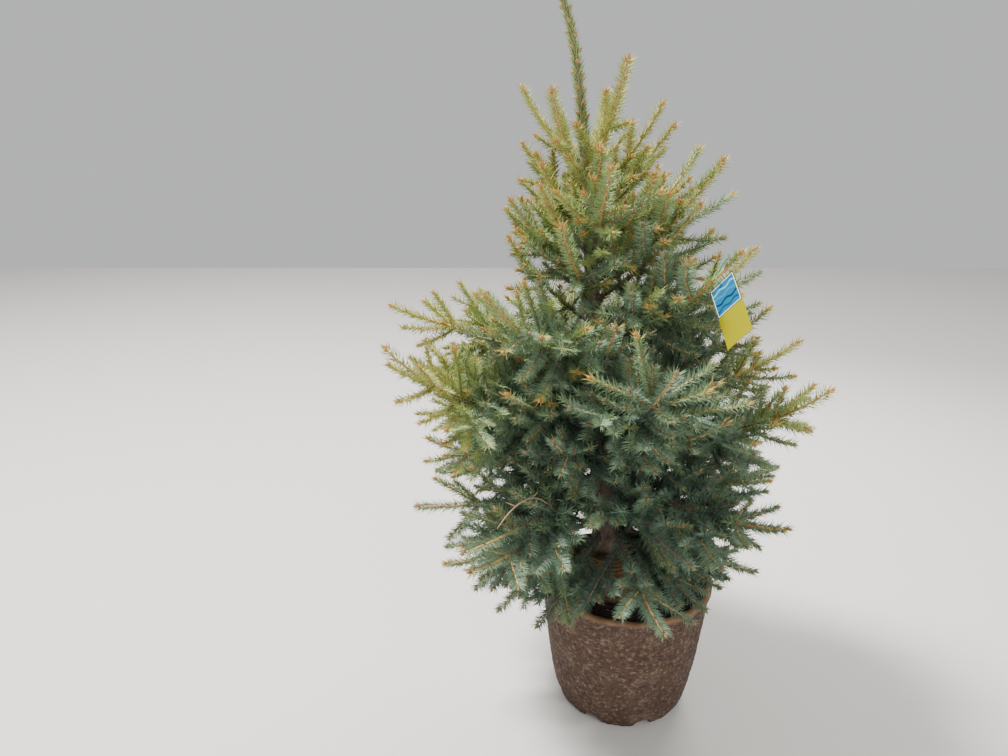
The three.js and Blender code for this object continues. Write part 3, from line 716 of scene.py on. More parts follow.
def settle(space, candidates):
    """Which of the twigs have room in the box and between the others. They take their room at once."""
    kept = []
    for twig in candidates:
        outer = stretch(twig.path, FINE_FOOT_SHARE * twig.length, twig.length, 3)
        if np.all(in_box(outer, BOX_ROOM)) and space.is_clear(outer, FINE_ROOM, twig.bough, fine=True):
            space.claim(outer, FINE_ROOM, FINE_ROOM, twig.bough)
            kept.append(twig)
    return kept


def front_spray(space, stems):
    """The shoots that stand up at the end of the front bough."""
    stem = next(stem for stem in stems if stem.bough == FRONT_BOUGH)
    node = along(stem.path, stem.length * FRONT_NODE)[0][0]
    for k, tip in enumerate(FRONT_TIPS):
        reach = float(np.linalg.norm(np.array(tip) - node))
        path = node + np.linspace(0, 1, TWIG_STEPS + 1)[:, None] * (np.array(tip) - node)
        space.claim(path, NEEDLE_FIN, FINE_NEIGHBOUR, FRONT_BOUGH)
        yield Twig(path, reach, 1, 1, FRONT_SEED + k, FRONT_BOUGH)


@lru_cache(maxsize=None)
def grow_crown():
    """The boughs and all their twigs. The side twigs take room as in the solids, and finer ones fill in."""
    rolls = (NODE_ROLL, HALF_YEAR_ROLL)
    boughs = grow_boughs()
    space = Space()
    claim_solids(space, boughs)
    stems = [stem_of(bough) for bough in boughs]
    twigs, refused = list(stems), []
    for bough, stem in zip(boughs, stems):
        for twig in side_twigs(stem, SIDE_SHORTEST, SIDE_LONGEST, bough_bare(bough), rolls):
            outer = stretch(twig.path, FOOT_SHARE * twig.length, twig.length, TWIG_STEPS)
            if space.is_clear(outer, NEEDLE_FIN, bough.name):
                space.claim(outer, NEEDLE_FIN, FINE_NEIGHBOUR, bough.name)
                twigs.append(twig)
            else:
                refused.append(twig)
    twigs += front_spray(space, stems)
    refused = settle(space, refused)
    inner = grow_boughs(INNER, FIRST_INNER)
    inner_stems = [stem_of(bough) for bough in inner]
    for stem in inner_stems:
        space.claim(stretch(stem.path, STEM_BARE, stem.length, 8), FINE_ROOM, FINE_ROOM, stem.bough)
    inner_sides = []
    for stem in inner_stems:
        inner_sides += settle(space, side_twigs(stem, FINE_SHORTEST, SIDE_LONGEST, STEM_BARE, rolls))
    boughs += inner
    bare = {bough.name: bough_bare(bough) for bough in boughs}
    parents = [*twigs, *refused, *inner_stems, *inner_sides]
    twigs = list(parents)
    while parents:
        grown = []
        for parent in parents:
            start = bare[parent.bough] if parent.order == 0 else FINE_FROM
            finer = []
            if parent.order > 0:
                finer += side_twigs(parent, FINE_SHORTEST, FINE_LONGEST, start, (FINE_ROLL, FINE_ROLL))
            if parent.order < 2:
                finer += finer_twigs(parent, start)
            grown += settle(space, finer)
        twigs += grown
        parents = [twig for twig in grown if twig.order < DEEPEST_ORDER]
    return boughs, twigs


def in_box(points, room):
    """Which points lie in the box of the solids, with some room to spare."""
    low, high = np.array(CAD_BOX)
    return np.all((points > low + room) & (points < high - room), axis=-1)


# Meshes from arrays

def mesh_piece(name, points, faces, tones=None, smooth=False):
    """A joined mesh from an array of points and one of faces with equally many corners."""
    count, corners = faces.shape
    mesh = bpy.data.meshes.new(name)
    mesh.vertices.add(len(points))
    mesh.vertices.foreach_set("co", np.ascontiguousarray(points, dtype=np.float32).ravel())
    mesh.loops.add(count * corners)
    mesh.loops.foreach_set("vertex_index", faces.ravel().astype(np.int32))
    mesh.polygons.add(count)
    mesh.polygons.foreach_set("loop_start", np.arange(0, count * corners, corners, dtype=np.int32))
    if tones is not None:
        mesh.polygons.foreach_set("material_index", np.asarray(tones, dtype=np.int32))
    mesh.polygons.foreach_set("use_smooth", np.full(count, smooth))
    mesh.update(calc_edges=True)
    piece = bpy.data.objects.new(name, mesh)
    bpy.context.collection.objects.link(piece)
    return piece


def finish_piece(piece, slot, materials, *nodes):
    """Gives a piece its materials and its body, and lets it stand for its solids. The slot is not used."""
    for material in materials:
        piece.data.materials.append(material)
    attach(piece, BODY)
    if nodes:
        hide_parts(*nodes)
    return piece


def tube(path, radii, sides):
    """Points and quads of a tapering tube, closed at both ends by its last rings drawn to a point."""
    ahead = np.vstack([path[1:], path[-1:]])
    behind = np.vstack([path[:1], path[:-1]])
    level, top = square_to((ahead - behind) / np.linalg.norm(ahead - behind, axis=1, keepdims=True))
    turns = np.arange(sides) * 2 * math.pi / sides
    ring = level[:, None] * np.cos(turns)[:, None] - top[:, None] * np.sin(turns)[:, None]
    points = (path[:, None] + ring * radii[:, None, None]).reshape(-1, 3)
    rows = np.arange(len(path) - 1)[:, None] * sides
    near = np.arange(sides)
    far = (near + 1) % sides
    faces = np.stack([rows + near, rows + far, rows + sides + far, rows + sides + near], axis=-1)
    return points, faces.reshape(-1, 4)


def joined(parts):
    """One array of points and one of faces from many, with a list of tones where the parts have them."""
    start = 0
    points, faces, tones = [], [], []
    for part in parts:
        points.append(part[0])
        faces.append(part[1] + start)
        tones.append(part[2] if len(part) > 2 else np.zeros(len(part[1]), dtype=int))
        start += len(part[0])
    return np.concatenate(points), np.concatenate(faces), np.concatenate(tones)


def needles_on(twig, start, end, radius, lean, per_metre, sweep, reach, width, parting=0.0):
    """Points and triangles of the needles on a stretch of a twig, each a slim pyramid that stands in the
    wood, and how far each triangle stands from the tip. Parting turns the needles aside from the top."""
    random = np.random.default_rng(int(twig.seed) + 7)
    count = max(3, int((end - start) * per_metre))
    places = np.arange(count) + random.uniform(*NEEDLE_PLACE_SPREAD, count)
    marks = start + (end - start) * places / count
    points, directions = along(twig.path, marks)
    level, top = square_to(directions)
    turns = (np.arange(count) * GOLDEN_ANGLE + random.normal(0, NEEDLE_TURN_SPREAD, count))[:, None]
    turns -= parting * np.sin(2 * turns)
    out = level * np.cos(turns) + top * np.sin(turns)
    closing = TIP_LEAN * np.clip(1 - (end - marks) / TIP_LEAN_STRETCH, 0, 1)
    leans = (lean + random.normal(0, NEEDLE_LEAN_SPREAD, count) - closing)[:, None]
    aims = directions * np.cos(leans) + out * np.sin(leans)
    aims = aims + UP * sweep * np.clip(SWEEP_FROM - out[:, 2:], 0, SWEEP_MOST)
    aims /= np.linalg.norm(aims, axis=1, keepdims=True)
    share = (marks - start) / max(end - start, 1e-6)
    fullness = SHORT_NEEDLE + NEEDLE_GAIN * np.sin(math.pi * np.clip(share, 0.08, 0.8))
    size = reach * random.uniform(*NEEDLE_SIZE_SPREAD, count) * fullness
    roots = points + out * radius * NEEDLE_DEPTH
    side, lift = square_to(aims)
    corners = []
    for k in range(3):
        turn = 2 * math.pi * k / 3
        corners.append(roots + (side * math.cos(turn) + lift * math.sin(turn)) * width / 2)
    tips = roots + aims * size[:, None]
    kept = in_box(tips, 0)
    shape = np.stack([*corners, tips], axis=1)[kept].reshape(-1, 3)
    faces = np.array([[0, 1, 3], [1, 2, 3], [2, 0, 3]])
    faces = (np.arange(kept.sum())[:, None, None] * 4 + faces[None]).reshape(-1, 3)
    return shape, faces, np.repeat((end - marks)[kept], 3)


def painted_light_tone(twig):
    """Which step of painted light and shade a spray's needles have: from painted deep shade, low in the
    heart, to straw, painted sunlight where the sun is.
    """
    at = STEM_TONE_AT if twig.order == 0 else TWIG_TONE_AT
    middle = along(twig.path, twig.length * at)[0][0]
    place = (middle - np.array(CROWN_CENTRE)) / np.array(CROWN_REACH)
    lit = LIT_MIDDLE + LIT_BY_SUN * place @ np.array(SUN)
    lit += LIT_BY_REACH * (np.linalg.norm(place) - REACH_MIDDLE)
    lit += EDGE_LIGHT * max(0, abs(place[0]) - EDGE_START) * min(max(place[2] + EDGE_LOW, 0), 1)
    lit += TONE_SPREAD * (chance(twig.seed, 9) - 0.5)
    return int(min(max(lit * TONES, 0), TONES - 0.01))


def has_golden_tip(twig, tone):
    """Whether a spray's tip gets the painted golden highlight where the light catches it: mostly on strong
    shoots and in the outer crown.
    """
    return tone >= GOLDEN_LEAST[twig.order] and chance(twig.seed, 13) < GOLDEN_SHARE[twig.order]


@lru_cache(maxsize=None)
def painted_light_tones():
    return {id(twig): painted_light_tone(twig) for twig in grow_crown()[1]}


def twig_radius(twig, distances):
    if twig.order == 0:
        bough = next(b for b in grow_crown()[0] if b.name == twig.bough)
        root = STEM_SHARE * (BOUGH_LEAST_RADIUS + BOUGH_THICKENING * bough.reach)
        return root + (STEM_TIP_RADIUS - root) * distances / twig.length
    return TWIG_RADII[twig.order] * (1 + (TWIG_TAPER - 1) * distances / twig.length)


def wood_start(twig):
    """Where a twig's own wood starts: a bough's stem starts where its bare limb ends."""
    if twig.order > 0:
        return 0.0
    bare = next(b for b in grow_crown()[0] if b.name == twig.bough).whorl.bare
    return bare + 0.0003 if bare > 0 else 0.0


def needled_start(twig):
    """Where a twig's needles start: those of long twigs stand only on the last stretch."""
    if twig.order == 0:
        return max(wood_start(twig), STEM_BARE * 0.6) + 0.004
    return max(TWIG_BARE, twig.length - NEEDLED_STRETCH)


def clear_of_tag(twig, spans):
    """Spans of a twig with the stretch by the tag's tie left out."""
    if twig.order > 0 or twig.bough != TAG_BOUGH:
        return spans
    start, end = spans[0]
    return [(start, TAG_ALONG - 0.5 * TAG_CLEAR), (TAG_ALONG + 0.5 * TAG_CLEAR, end)]


def whorl_boughs(whorl, half):
    """The names of the boughs in the first or second half of a whorl."""
    cut = (whorl.count + 1) // 2
    numbers = range(1, cut + 1) if half == 0 else range(cut + 1, whorl.count + 1)
    return [f"{whorl.name}_{k}" for k in numbers]


def whorl_twigs(whorl, *halves):
    """The twigs of a whorl's boughs. The needles of a whorl are made in two halves."""
    for half in halves:
        names = whorl_boughs(whorl, half)
        yield from (twig for twig in grow_crown()[1] if twig.bough in names)


def make_needles(whorl, half):
    """The needles on half of a whorl's boughs, with the painted light and shade of their sprays and painted
    golden highlights at lit tips.
    """
    foliage = bpy.context.scene.spruce_foliage
    parts = []
    for twig in whorl_twigs(whorl, half):
        spans = clear_of_tag(twig, [(needled_start(twig), twig.length - TIP_BARE)])
        tone = painted_light_tones()[id(twig)]
        per_metre = foliage.needles_per_metre * NEEDLE_SHARE[twig.order]
        for start, end in spans:
            radius = float(twig_radius(twig, np.array([start]))[0])
            shape, faces, from_tip = needles_on(
                twig, start, end, radius, foliage.needle_lean, per_metre,
                foliage.upsweep, foliage.needle_length, foliage.needle_width, foliage.parting,
            )
            # Painted light: needles near a spray's tip go one step lighter, and lit tips take the painted
            # golden highlight.
            tones = np.minimum(tone + (from_tip < TIP_TUFT), TONES - 1)
            if end == spans[-1][1] and has_golden_tip(twig, tone):
                tones = np.where(from_tip < GOLDEN_TIP, GOLD_HIGHLIGHT, tones)
            parts.append((shape, faces, tones))
    points, faces, tones = joined(parts)
    piece = mesh_piece(f"needles_{whorl.name}_{'ab'[half]}", points, faces, tones)
    nodes = [f"foliage_{name}" for name in whorl_boughs(whorl, half) if whorl in WHORLS]
    return finish_piece(piece, "needles", needle_materials(), *nodes)


def make_twigs(whorl):
    """The wood of a whorl's twigs: last year's stretch golden where it is lit and a darker copy as painted
    shade where it is not, and the rest grey brown.
    """
    golden, old, dull = range(3)
    parts = []
    for twig in whorl_twigs(whorl, 0, 1):
        steps = TUBE_STEPS[twig.order]
        marks = np.linspace(wood_start(twig), twig.length, steps + 1)
        radii = twig_radius(twig, marks)
        radii[-1] = POINT_RADIUS
        points, faces = tube(along(twig.path, marks)[0], radii, TUBE_SIDES[twig.order])
        season = twig.length / twig.years
        young = np.repeat(marks[1:] > twig.length - season + SEASON_ROOM, len(faces) // steps)
        # Painted shade: young wood on shaded sprays takes the darker copy; the front spray always takes the
        # lit colour.
        in_front = twig.bough == FRONT_BOUGH and twig.order < 2
        lit = in_front or painted_light_tones()[id(twig)] >= LIT_WOOD_LEAST[twig.order]
        parts.append((points, faces, np.where(young, golden if lit else dull, old)))
    points, faces, tones = joined(parts)
    piece = mesh_piece(f"twigs_{whorl.name}", points, faces, tones, smooth=True)
    woods = [young_wood_material(), old_wood_material(), shaded_wood_material()]
    return finish_piece(piece, "bough_bark", woods)


def bud_shape(root, aim, size, radius, sides=5):
    """Points and quads of a bud: a pointed oval that swells near its foot."""
    marks = np.array(BUD_MARKS) * size
    return tube(root + aim * marks[:, None], radius * np.array(BUD_SWELL), sides)


def spread_from(aim, turn, ahead, aside):
    """A direction that leaves another at a turn about it."""
    level, top = square_to(aim)
    return unit(aim * ahead + (level * math.cos(turn) + top * math.sin(turn)) * aside)


def make_buds(whorl):
    """A bud at each twig's tip, with a cluster round it and side buds below it on the strong shoots."""
    foliage = bpy.context.scene.spruce_foliage
    parts = []
    for twig in whorl_twigs(whorl, 0, 1):
        strength = BUD_SHARE[twig.order]
        size, radius = foliage.bud_length * strength, foliage.bud_radius * strength
        root, aim = (found[0] for found in along(twig.path, twig.length - 0.001))
        if not in_box(root + aim * size, 0):
            continue
        buds = [bud_shape(root, aim, size, radius, BUD_SIDES[twig.order])]
        for k in range(CLUSTER_BUDS[twig.order]):
            turn = 2 * math.pi * (k / 4 + chance(twig.seed, 20))
            out = spread_from(aim, turn, *CLUSTER_SPREAD)
            foot = root - aim * CLUSTER_STEP * k
            buds.append(bud_shape(foot, out, size * CLUSTER_SIZE[0], radius * CLUSTER_SIZE[1], 4))
        season = min(twig.length / twig.years, SIDE_BUD_STRETCH)
        for k in range(SIDE_BUDS[twig.order]):
            distance = twig.length - season * (k + 1) / (SIDE_BUDS[twig.order] + 1)
            foot, ahead = (found[0] for found in along(twig.path, distance))
            turn = k * GOLDEN_ANGLE + 2 * math.pi * chance(twig.seed, 21)
            foot = foot + spread_from(ahead, turn, 0, 1) * float(twig_radius(twig, distance)) * BUD_SEAT
            out = spread_from(ahead, turn, *SIDE_BUD_SPREAD)
            buds.append(bud_shape(foot, out, size * SIDE_BUD_SIZE, radius * SIDE_BUD_SIZE, 4))
        # Painted shade: buds on shaded sprays take the darker copy of the bud colour.
        shaded = painted_light_tones()[id(twig)] < LIT_BUD_LEAST
        parts += [(*bud, np.full(len(bud[1]), int(shaded))) for bud in buds]
    points, faces, tones = joined(parts)
    piece = mesh_piece(f"buds_{whorl.name}", points, faces, tones, smooth=True)
    return finish_piece(piece, "bough_bark", [bud_material(), shaded_bud_material()])


# Materials

def add_node(tree, kind, inputs=None, links=None, **settings):
    """Adds a node with its settings, the values of its inputs and the links to them."""
    node = tree.nodes.new(kind)
    for name, value in settings.items():
        setattr(node, name, value)
    for name, value in (inputs or {}).items():
        node.inputs[name].default_value = value
    for name, socket in (links or {}).items():
        tree.links.new(socket, node.inputs[name])
    return node


def new_material(name, base, roughness, **sockets):
    """A material with the given base colour, and its tree and shader."""
    material = bpy.data.materials.new(name)
    material.use_nodes = True
    tree = material.node_tree
    shader = tree.nodes["Principled BSDF"]
    shader.inputs["Base Color"].default_value = (*base, 1)
    shader.inputs["Roughness"].default_value = roughness
    for socket, value in sockets.items():
        shader.inputs[socket.replace("_", " ")].default_value = value
    return material, tree, shader


def ramp(tree, factor, stops):
    """A colour ramp from (place, colour) stops."""
    node = add_node(tree, "ShaderNodeValToRGB", links={"Fac": factor})
    elements = node.color_ramp.elements
    while len(elements) < len(stops):
        elements.new(0.5)
    for element, (place, colour_value) in zip(elements, stops):
        element.position = place
        element.color = (*colour_value, 1)
    return node.outputs["Color"]


def object_noise(tree, size, stretch_by=(1, 1, 1), detail=4.0, coarseness=0.55):
    """Noise whose lumps are about size metres across, stretched along the axes."""
    place = add_node(tree, "ShaderNodeTexCoord")
    scaled = add_node(
        tree, "ShaderNodeMapping", inputs={"Scale": stretch_by}, links={"Vector": place.outputs["Object"]}
    )
    return add_node(
        tree,
        "ShaderNodeTexNoise",
        inputs={"Scale": 1 / size, "Detail": detail, "Roughness": coarseness},
        links={"Vector": scaled.outputs["Vector"]},
    ).outputs["Fac"]


def bump(tree, shader, height, distance):
    """Gives a material a relief of up to distance metres."""
    node = add_node(tree, "ShaderNodeBump", inputs={"Distance": distance}, links={"Height": height})
    tree.links.new(node.outputs["Normal"], shader.inputs["Normal"])


@lru_cache(maxsize=None)
def needle_materials():
    """Spruce needles, grown with a skin of wax. The wax scatters light, so they are matt with a soft blue
    sheen.
    Each spray has one plain colour, a step of painted light and shade, and gold is a painted highlight."""
    foliage = bpy.context.scene.spruce_foliage
    names = ("shade", "deep", "blue", "glaucous", "green", "olive", "sunlit", "straw", "gold")
    made = []
    for name in names:
        material, _, _ = new_material(
            f"waxy_needle_{name}", getattr(foliage, name), 0.6, Sheen_Weight=0.05, Sheen_Roughness=0.4
        )
        made.append(material)
    return made


def grained(name, base, roughness, size, stops, relief=0, **pattern):
    """A material whose colour and relief follow a grain of about size metres. Each stop is a place in the
    grain and a share of the base colour."""
    material, tree, shader = new_material(name, base, roughness)
    grain = object_noise(tree, size, **pattern)
    colours = [(place, tuple(min(1, share * c) for c in base)) for place, share in stops]
    tree.links.new(ramp(tree, grain, colours), shader.inputs["Base Color"])
    if relief:
        bump(tree, shader, grain, relief)
    return material


def young_bark(name, base):
    """Last year's bark, grown smooth and ridged between the needles' pegs, a little waxy."""
    return grained(name, base, 0.6, 3 * MM, [(0.35, 0.6), (0.6, 1)], 0.4 * MM, detail=2)


@lru_cache(maxsize=None)
def young_wood_material():
    """Young bark on the lit shoots: golden tan."""
    return young_bark("ridged_young_bark", bpy.context.scene.spruce_foliage.young_wood)


@lru_cache(maxsize=None)
def shaded_wood_material():
    """Young bark on the shoots in the shade: a darker, duller tan copy of the young bark, as painted shade.
    """
    return young_bark("ridged_shaded_bark", bpy.context.scene.spruce_foliage.shaded_wood)


@lru_cache(maxsize=None)
def old_wood_material():
    """Older bark, weathered grey brown and finely scaled."""
    base = bpy.context.scene.spruce_foliage.old_wood
    stops = [(0.3, 0.45), (0.55, 1), (0.75, 1.45)]
    return grained("weathered_twig_bark", base, 0.85, 5 * MM, stops, 0.8 * MM, detail=5)


def papery_scales(name, base):
    """Bud scales, dry, thin and dull."""
    return grained(name, base, 0.7, 2.5 * MM, [(0.32, 0.5), (0.6, 1)], detail=2)


@lru_cache(maxsize=None)
def bud_material():
    """Papery scales on the lit buds: light orange brown."""
    return papery_scales("papery_bud_scale", bpy.context.scene.spruce_foliage.bud)


@lru_cache(maxsize=None)
def shaded_bud_material():
    """Papery scales on the buds in the shade: a darker, dull brown copy of the bud colour, as painted shade.
    """
    return papery_scales("papery_shaded_scale", bpy.context.scene.spruce_foliage.shaded_bud)


@lru_cache(maxsize=None)
def bark_material():
    """Spruce bark, grown in thin scales: grey brown plates with darker cracks, fully matt."""
    base = bpy.context.scene.spruce_foliage.bark
    stops = [(0.32, 0.30), (0.5, 1), (0.72, 1.5)]
    pattern = {"stretch_by": (1, 1, 0.45), "detail": 7, "coarseness": 0.65}
    return grained("scaly_spruce_bark", base, 0.92, 12 * MM, stops, 2 * MM, **pattern)


@lru_cache(maxsize=None)
def pulp_material():
    """Moulded fibre, pressed from wood pulp: mottled brown with pale and dark flecks, fully matt, and paler
    along the rim."""
    pot = bpy.context.scene.spruce_pot
    material, tree, shader = new_material("pressed_wood_pulp", pot.fibre_mid, 0.95)
    rust = tuple(f * c for f, c in zip((1.35, 0.95, 0.72), pot.fibre_mid))
    browns = (pot.fibre_dark, rust, pot.fibre_mid, pot.fibre_pale)
    patches = object_noise(tree, 60 * MM, detail=5, coarseness=0.7)
    flecks = object_noise(tree, 11 * MM, stretch_by=(1, 1, 1.3), detail=7, coarseness=0.78)
    patch_colour = ramp(tree, patches, list(zip((0.38, 0.46, 0.55, 0.66), browns)))
    fleck_colour = ramp(tree, flecks, list(zip((0.42, 0.48, 0.54, 0.62), browns)))
    mixed = add_node(
        tree,
        "ShaderNodeMix",
        data_type="RGBA",
        inputs={"Factor": 0.72},
        links={"A": patch_colour, "B": fleck_colour},
    )
    # Towards the rim the colour turns to the paler rim colour.
    place = add_node(tree, "ShaderNodeTexCoord")
    height = add_node(tree, "ShaderNodeSeparateXYZ", links={"Vector": place.outputs["Object"]})
    rim = add_node(
        tree,
        "ShaderNodeMapRange",
        inputs={"From Min": pot.height - 0.016, "From Max": pot.height - 0.004, "To Max": 0.8},
        links={"Value": height.outputs["Z"]},
    )
    paler_rim = add_node(
        tree,
        "ShaderNodeMix",
        data_type="RGBA",
        inputs={"B": (*pot.fibre_rim, 1)},
        links={"Factor": rim.outputs["Result"], "A": mixed.outputs["Result"]},
    )
    tree.links.new(paler_rim.outputs["Result"], shader.inputs["Base Color"])
    bump(tree, shader, flecks, 5 * MM)
    return material


@lru_cache(maxsize=None)
def soil_material():
    """Potting soil of composted bark: near black and matt, drier and paler on the clods."""
    pot = bpy.context.scene.spruce_pot
    material, tree, shader = new_material("composted_bark_soil", pot.soil_dark, 1.0)
    grains = object_noise(tree, 8 * MM, detail=8, coarseness=0.7)
    colours = ramp(tree, grains, [(0.4, pot.soil_dark), (0.7, pot.soil_pale)])
    tree.links.new(colours, shader.inputs["Base Color"])
    bump(tree, shader, grains, 4 * MM)
    return material


@lru_cache(maxsize=None)
def burlap_material():
    """Burlap over roots, woven of coarse jute and gone brown: fibrous round the ball, matt."""
    base = bpy.context.scene.spruce_pot.burlap
    stops = [(0.35, 0.32), (0.52, 1), (0.7, 1.8)]
    pattern = {"stretch_by": (1, 1, 5), "detail": 6, "coarseness": 0.7}
    return grained("weathered_jute", base, 0.98, 14 * MM, stops, 3 * MM, **pattern)


def plain_plastic(name, base, roughness):
    """Printed polystyrene sheet: an even, nearly matt colour."""
    material, _, _ = new_material(name, base, roughness, Specular_IOR_Level=0.05)
    return material


# Modelling with operators

def deselect():
    """Leaves edit mode and selects nothing."""
    if bpy.context.object and bpy.context.object.mode != "OBJECT":
        bpy.ops.object.mode_set(mode="OBJECT")
    bpy.ops.object.select_all(action="DESELECT")


def loft(name, rings, sides):
    """A closed round form drawn up ring by ring: each ring is a centre and a radius."""
    deselect()
    centre, radius = rings[0]
    place = tuple(centre)
    bpy.ops.mesh.primitive_circle_add(vertices=sides, radius=radius, fill_type="NGON", location=place)
    piece = bpy.context.object
    piece.name = name
    bpy.ops.object.transform_apply(location=True, rotation=True, scale=True)
    bpy.ops.object.mode_set(mode="EDIT")
    bpy.ops.mesh.select_all(action="SELECT")
    for (last, last_radius), (centre, radius) in zip(rings[:-1], rings[1:]):
        shift = tuple(np.asarray(centre) - np.asarray(last))
        bpy.ops.mesh.extrude_region_move(TRANSFORM_OT_translate={"value": shift})
        share = radius / last_radius
        bpy.ops.transform.resize(value=(share, share, 1), center_override=tuple(centre))
    bpy.ops.mesh.select_all(action="SELECT")
    bpy.ops.mesh.normals_make_consistent(inside=False)
    bpy.ops.object.mode_set(mode="OBJECT")
    bpy.ops.object.shade_smooth()
    return piece


def displace(piece, size, strength, depth):
    """Raises a piece's surface by clouds of about size metres."""
    texture = bpy.data.textures.new(f"{piece.name}_relief", "CLOUDS")
    texture.noise_scale = size
    texture.noise_depth = depth
    modifier = piece.modifiers.new("relief", "DISPLACE")
    modifier.texture = texture
    modifier.texture_coords = "LOCAL"
    modifier.strength = strength
    modifier.mid_level = 0.5
    bpy.context.view_layer.objects.active = piece
    bpy.ops.object.modifier_apply(modifier=modifier.name)


def cut_away(piece, cutter, name):
    """Cuts another object's shape out of a piece, and removes that object."""
    modifier = piece.modifiers.new(name, "BOOLEAN")
    modifier.object = cutter
    modifier.operation = "DIFFERENCE"
    modifier.solver = "EXACT"
    bpy.context.view_layer.objects.active = piece
    bpy.ops.object.modifier_apply(modifier=modifier.name)
    bpy.data.objects.remove(cutter, do_unlink=True)


def fractal_at(places, scale):
    """Fractal noise at each place, by one scale or by one for each axis."""
    return np.array([noise.fractal(Vector(p * np.array(scale)), 1.0, 2.0, 4) for p in places])


def shape_points(piece, move):
    """Moves each vertex of a piece to where move puts it, given its place and its normal."""
    mesh = piece.data
    count = len(mesh.vertices)
    places = np.empty(count * 3, dtype=np.float32)
    normals = np.empty(count * 3, dtype=np.float32)
    mesh.vertices.foreach_get("co", places)
    mesh.vertices.foreach_get("normal", normals)
    moved = move(places.reshape(-1, 3).astype(float), normals.reshape(-1, 3).astype(float))
    mesh.vertices.foreach_set("co", moved.astype(np.float32).ravel())
    mesh.update()


def make_pot():
    """The moulded fibre pot: its wall and lip as one closed form, then the notches and the worn surface."""
    pot = bpy.context.scene.spruce_pot
    top = pot.height
    lip_base = top - POT_LIP
    heights = np.concatenate([np.linspace(0, 0.06, 16), np.linspace(0.068, lip_base, 46)])
    rings = [((0, 0, h), pot_radius(h)) for h in heights]
    rings += [((0, 0, lip_base + up), pot_radius(lip_base) + out) for up, out in LIP_FOOT]
    rings += [((0, 0, top - down), pot_radius(top) + out) for down, out in LIP_OUTSIDE]
    rings += [((0, 0, top - down), pot_radius(top) - pot.wall + out) for down, out in LIP_INSIDE]
    rings += [((0, 0, h), pot_radius(h) - pot.wall) for h in np.linspace(top - 0.01, 0.30, 10)]
    rings += [((0, 0, h), pot_radius(h) - pot.wall) for h in (0.2, 0.1, FLOOR_TOP)]
    piece = loft("fibre_pot", rings, 192)
    for k in range(NOTCHES):
        deselect()
        bpy.ops.mesh.primitive_cylinder_add(
            vertices=40,
            radius=NOTCH_RADIUS,
            depth=NOTCH_DEPTH,
            location=(pot.foot_radius, 0, 0),
            rotation=(0, math.pi / 2, 0),
        )
        cutter = bpy.context.object
        bpy.ops.object.transform_apply(location=True, rotation=True, scale=True)
        bpy.ops.object.mode_set(mode="EDIT")
        bpy.ops.mesh.select_all(action="SELECT")
        bpy.ops.transform.resize(value=(1, 1, NOTCH_TALL), center_override=(0, 0, 0))
        bpy.ops.object.mode_set(mode="OBJECT")
        cutter.rotation_euler = (0, 0, math.radians(NOTCH_TURN + 360 * k / NOTCHES))
        bpy.ops.object.transform_apply(location=True, rotation=True, scale=True)
        cut_away(piece, cutter, "notch")
    for size, share, depth in PULP_LUMPS:
        displace(piece, size, pot.pulp_relief * share, depth)

    def worn(places, normals):
        rim = np.clip((places[:, 2] - lip_base) / POT_LIP, 0, 1)
        turns = np.arctan2(places[:, 1], places[:, 0])
        wave = sum(height * np.sin(count * turns + shift) for count, height, shift in LIP_WAVES)
        places[:, 2] += rim * (wave - LIP_DROP)
        places[:, 2] = np.maximum(places[:, 2], 0)
        return places

    shape_points(piece, worn)
    return finish_piece(piece, "pot", [pulp_material()], "pot")


def make_soil():
    """The soil, which fills the pot and rises a little to the root ball, with clods on top."""
    pot = bpy.context.scene.spruce_pot
    heights = (FLOOR_TOP + 0.0005, 0.1, 0.2, pot.soil_level - 0.012)
    rings = [((0, 0, h), pot_radius(h) - pot.wall - SOIL_GAP) for h in heights]
    inner = pot_radius(pot.soil_level) - pot.wall - SOIL_GAP
    inner_level, inner_radius = SOIL_INNER
    for share in np.linspace(0, 1, 16):
        centre = (TRUNK_X * share, 0, between(pot.soil_level, inner_level, share))
        rings.append((centre, between(inner, inner_radius, share)))
    piece = loft("soil_bed", rings, 128)

    def clods(places, normals):
        top = places[:, 2] > pot.soil_level - 0.006
        lumps = fractal_at(places, CLOD_SCALE)
        edge = np.clip((inner - np.hypot(places[:, 0], places[:, 1])) / CLOD_EDGE, 0.15, 1)
        places[:, 2] += np.where(top, (lumps * pot.clod_height - CLOD_SINK) * edge, 0)
        return places

    shape_points(piece, clods)
    finish_piece(piece, "soil", [soil_material()], "soil")
    make_soil_bits(inner)


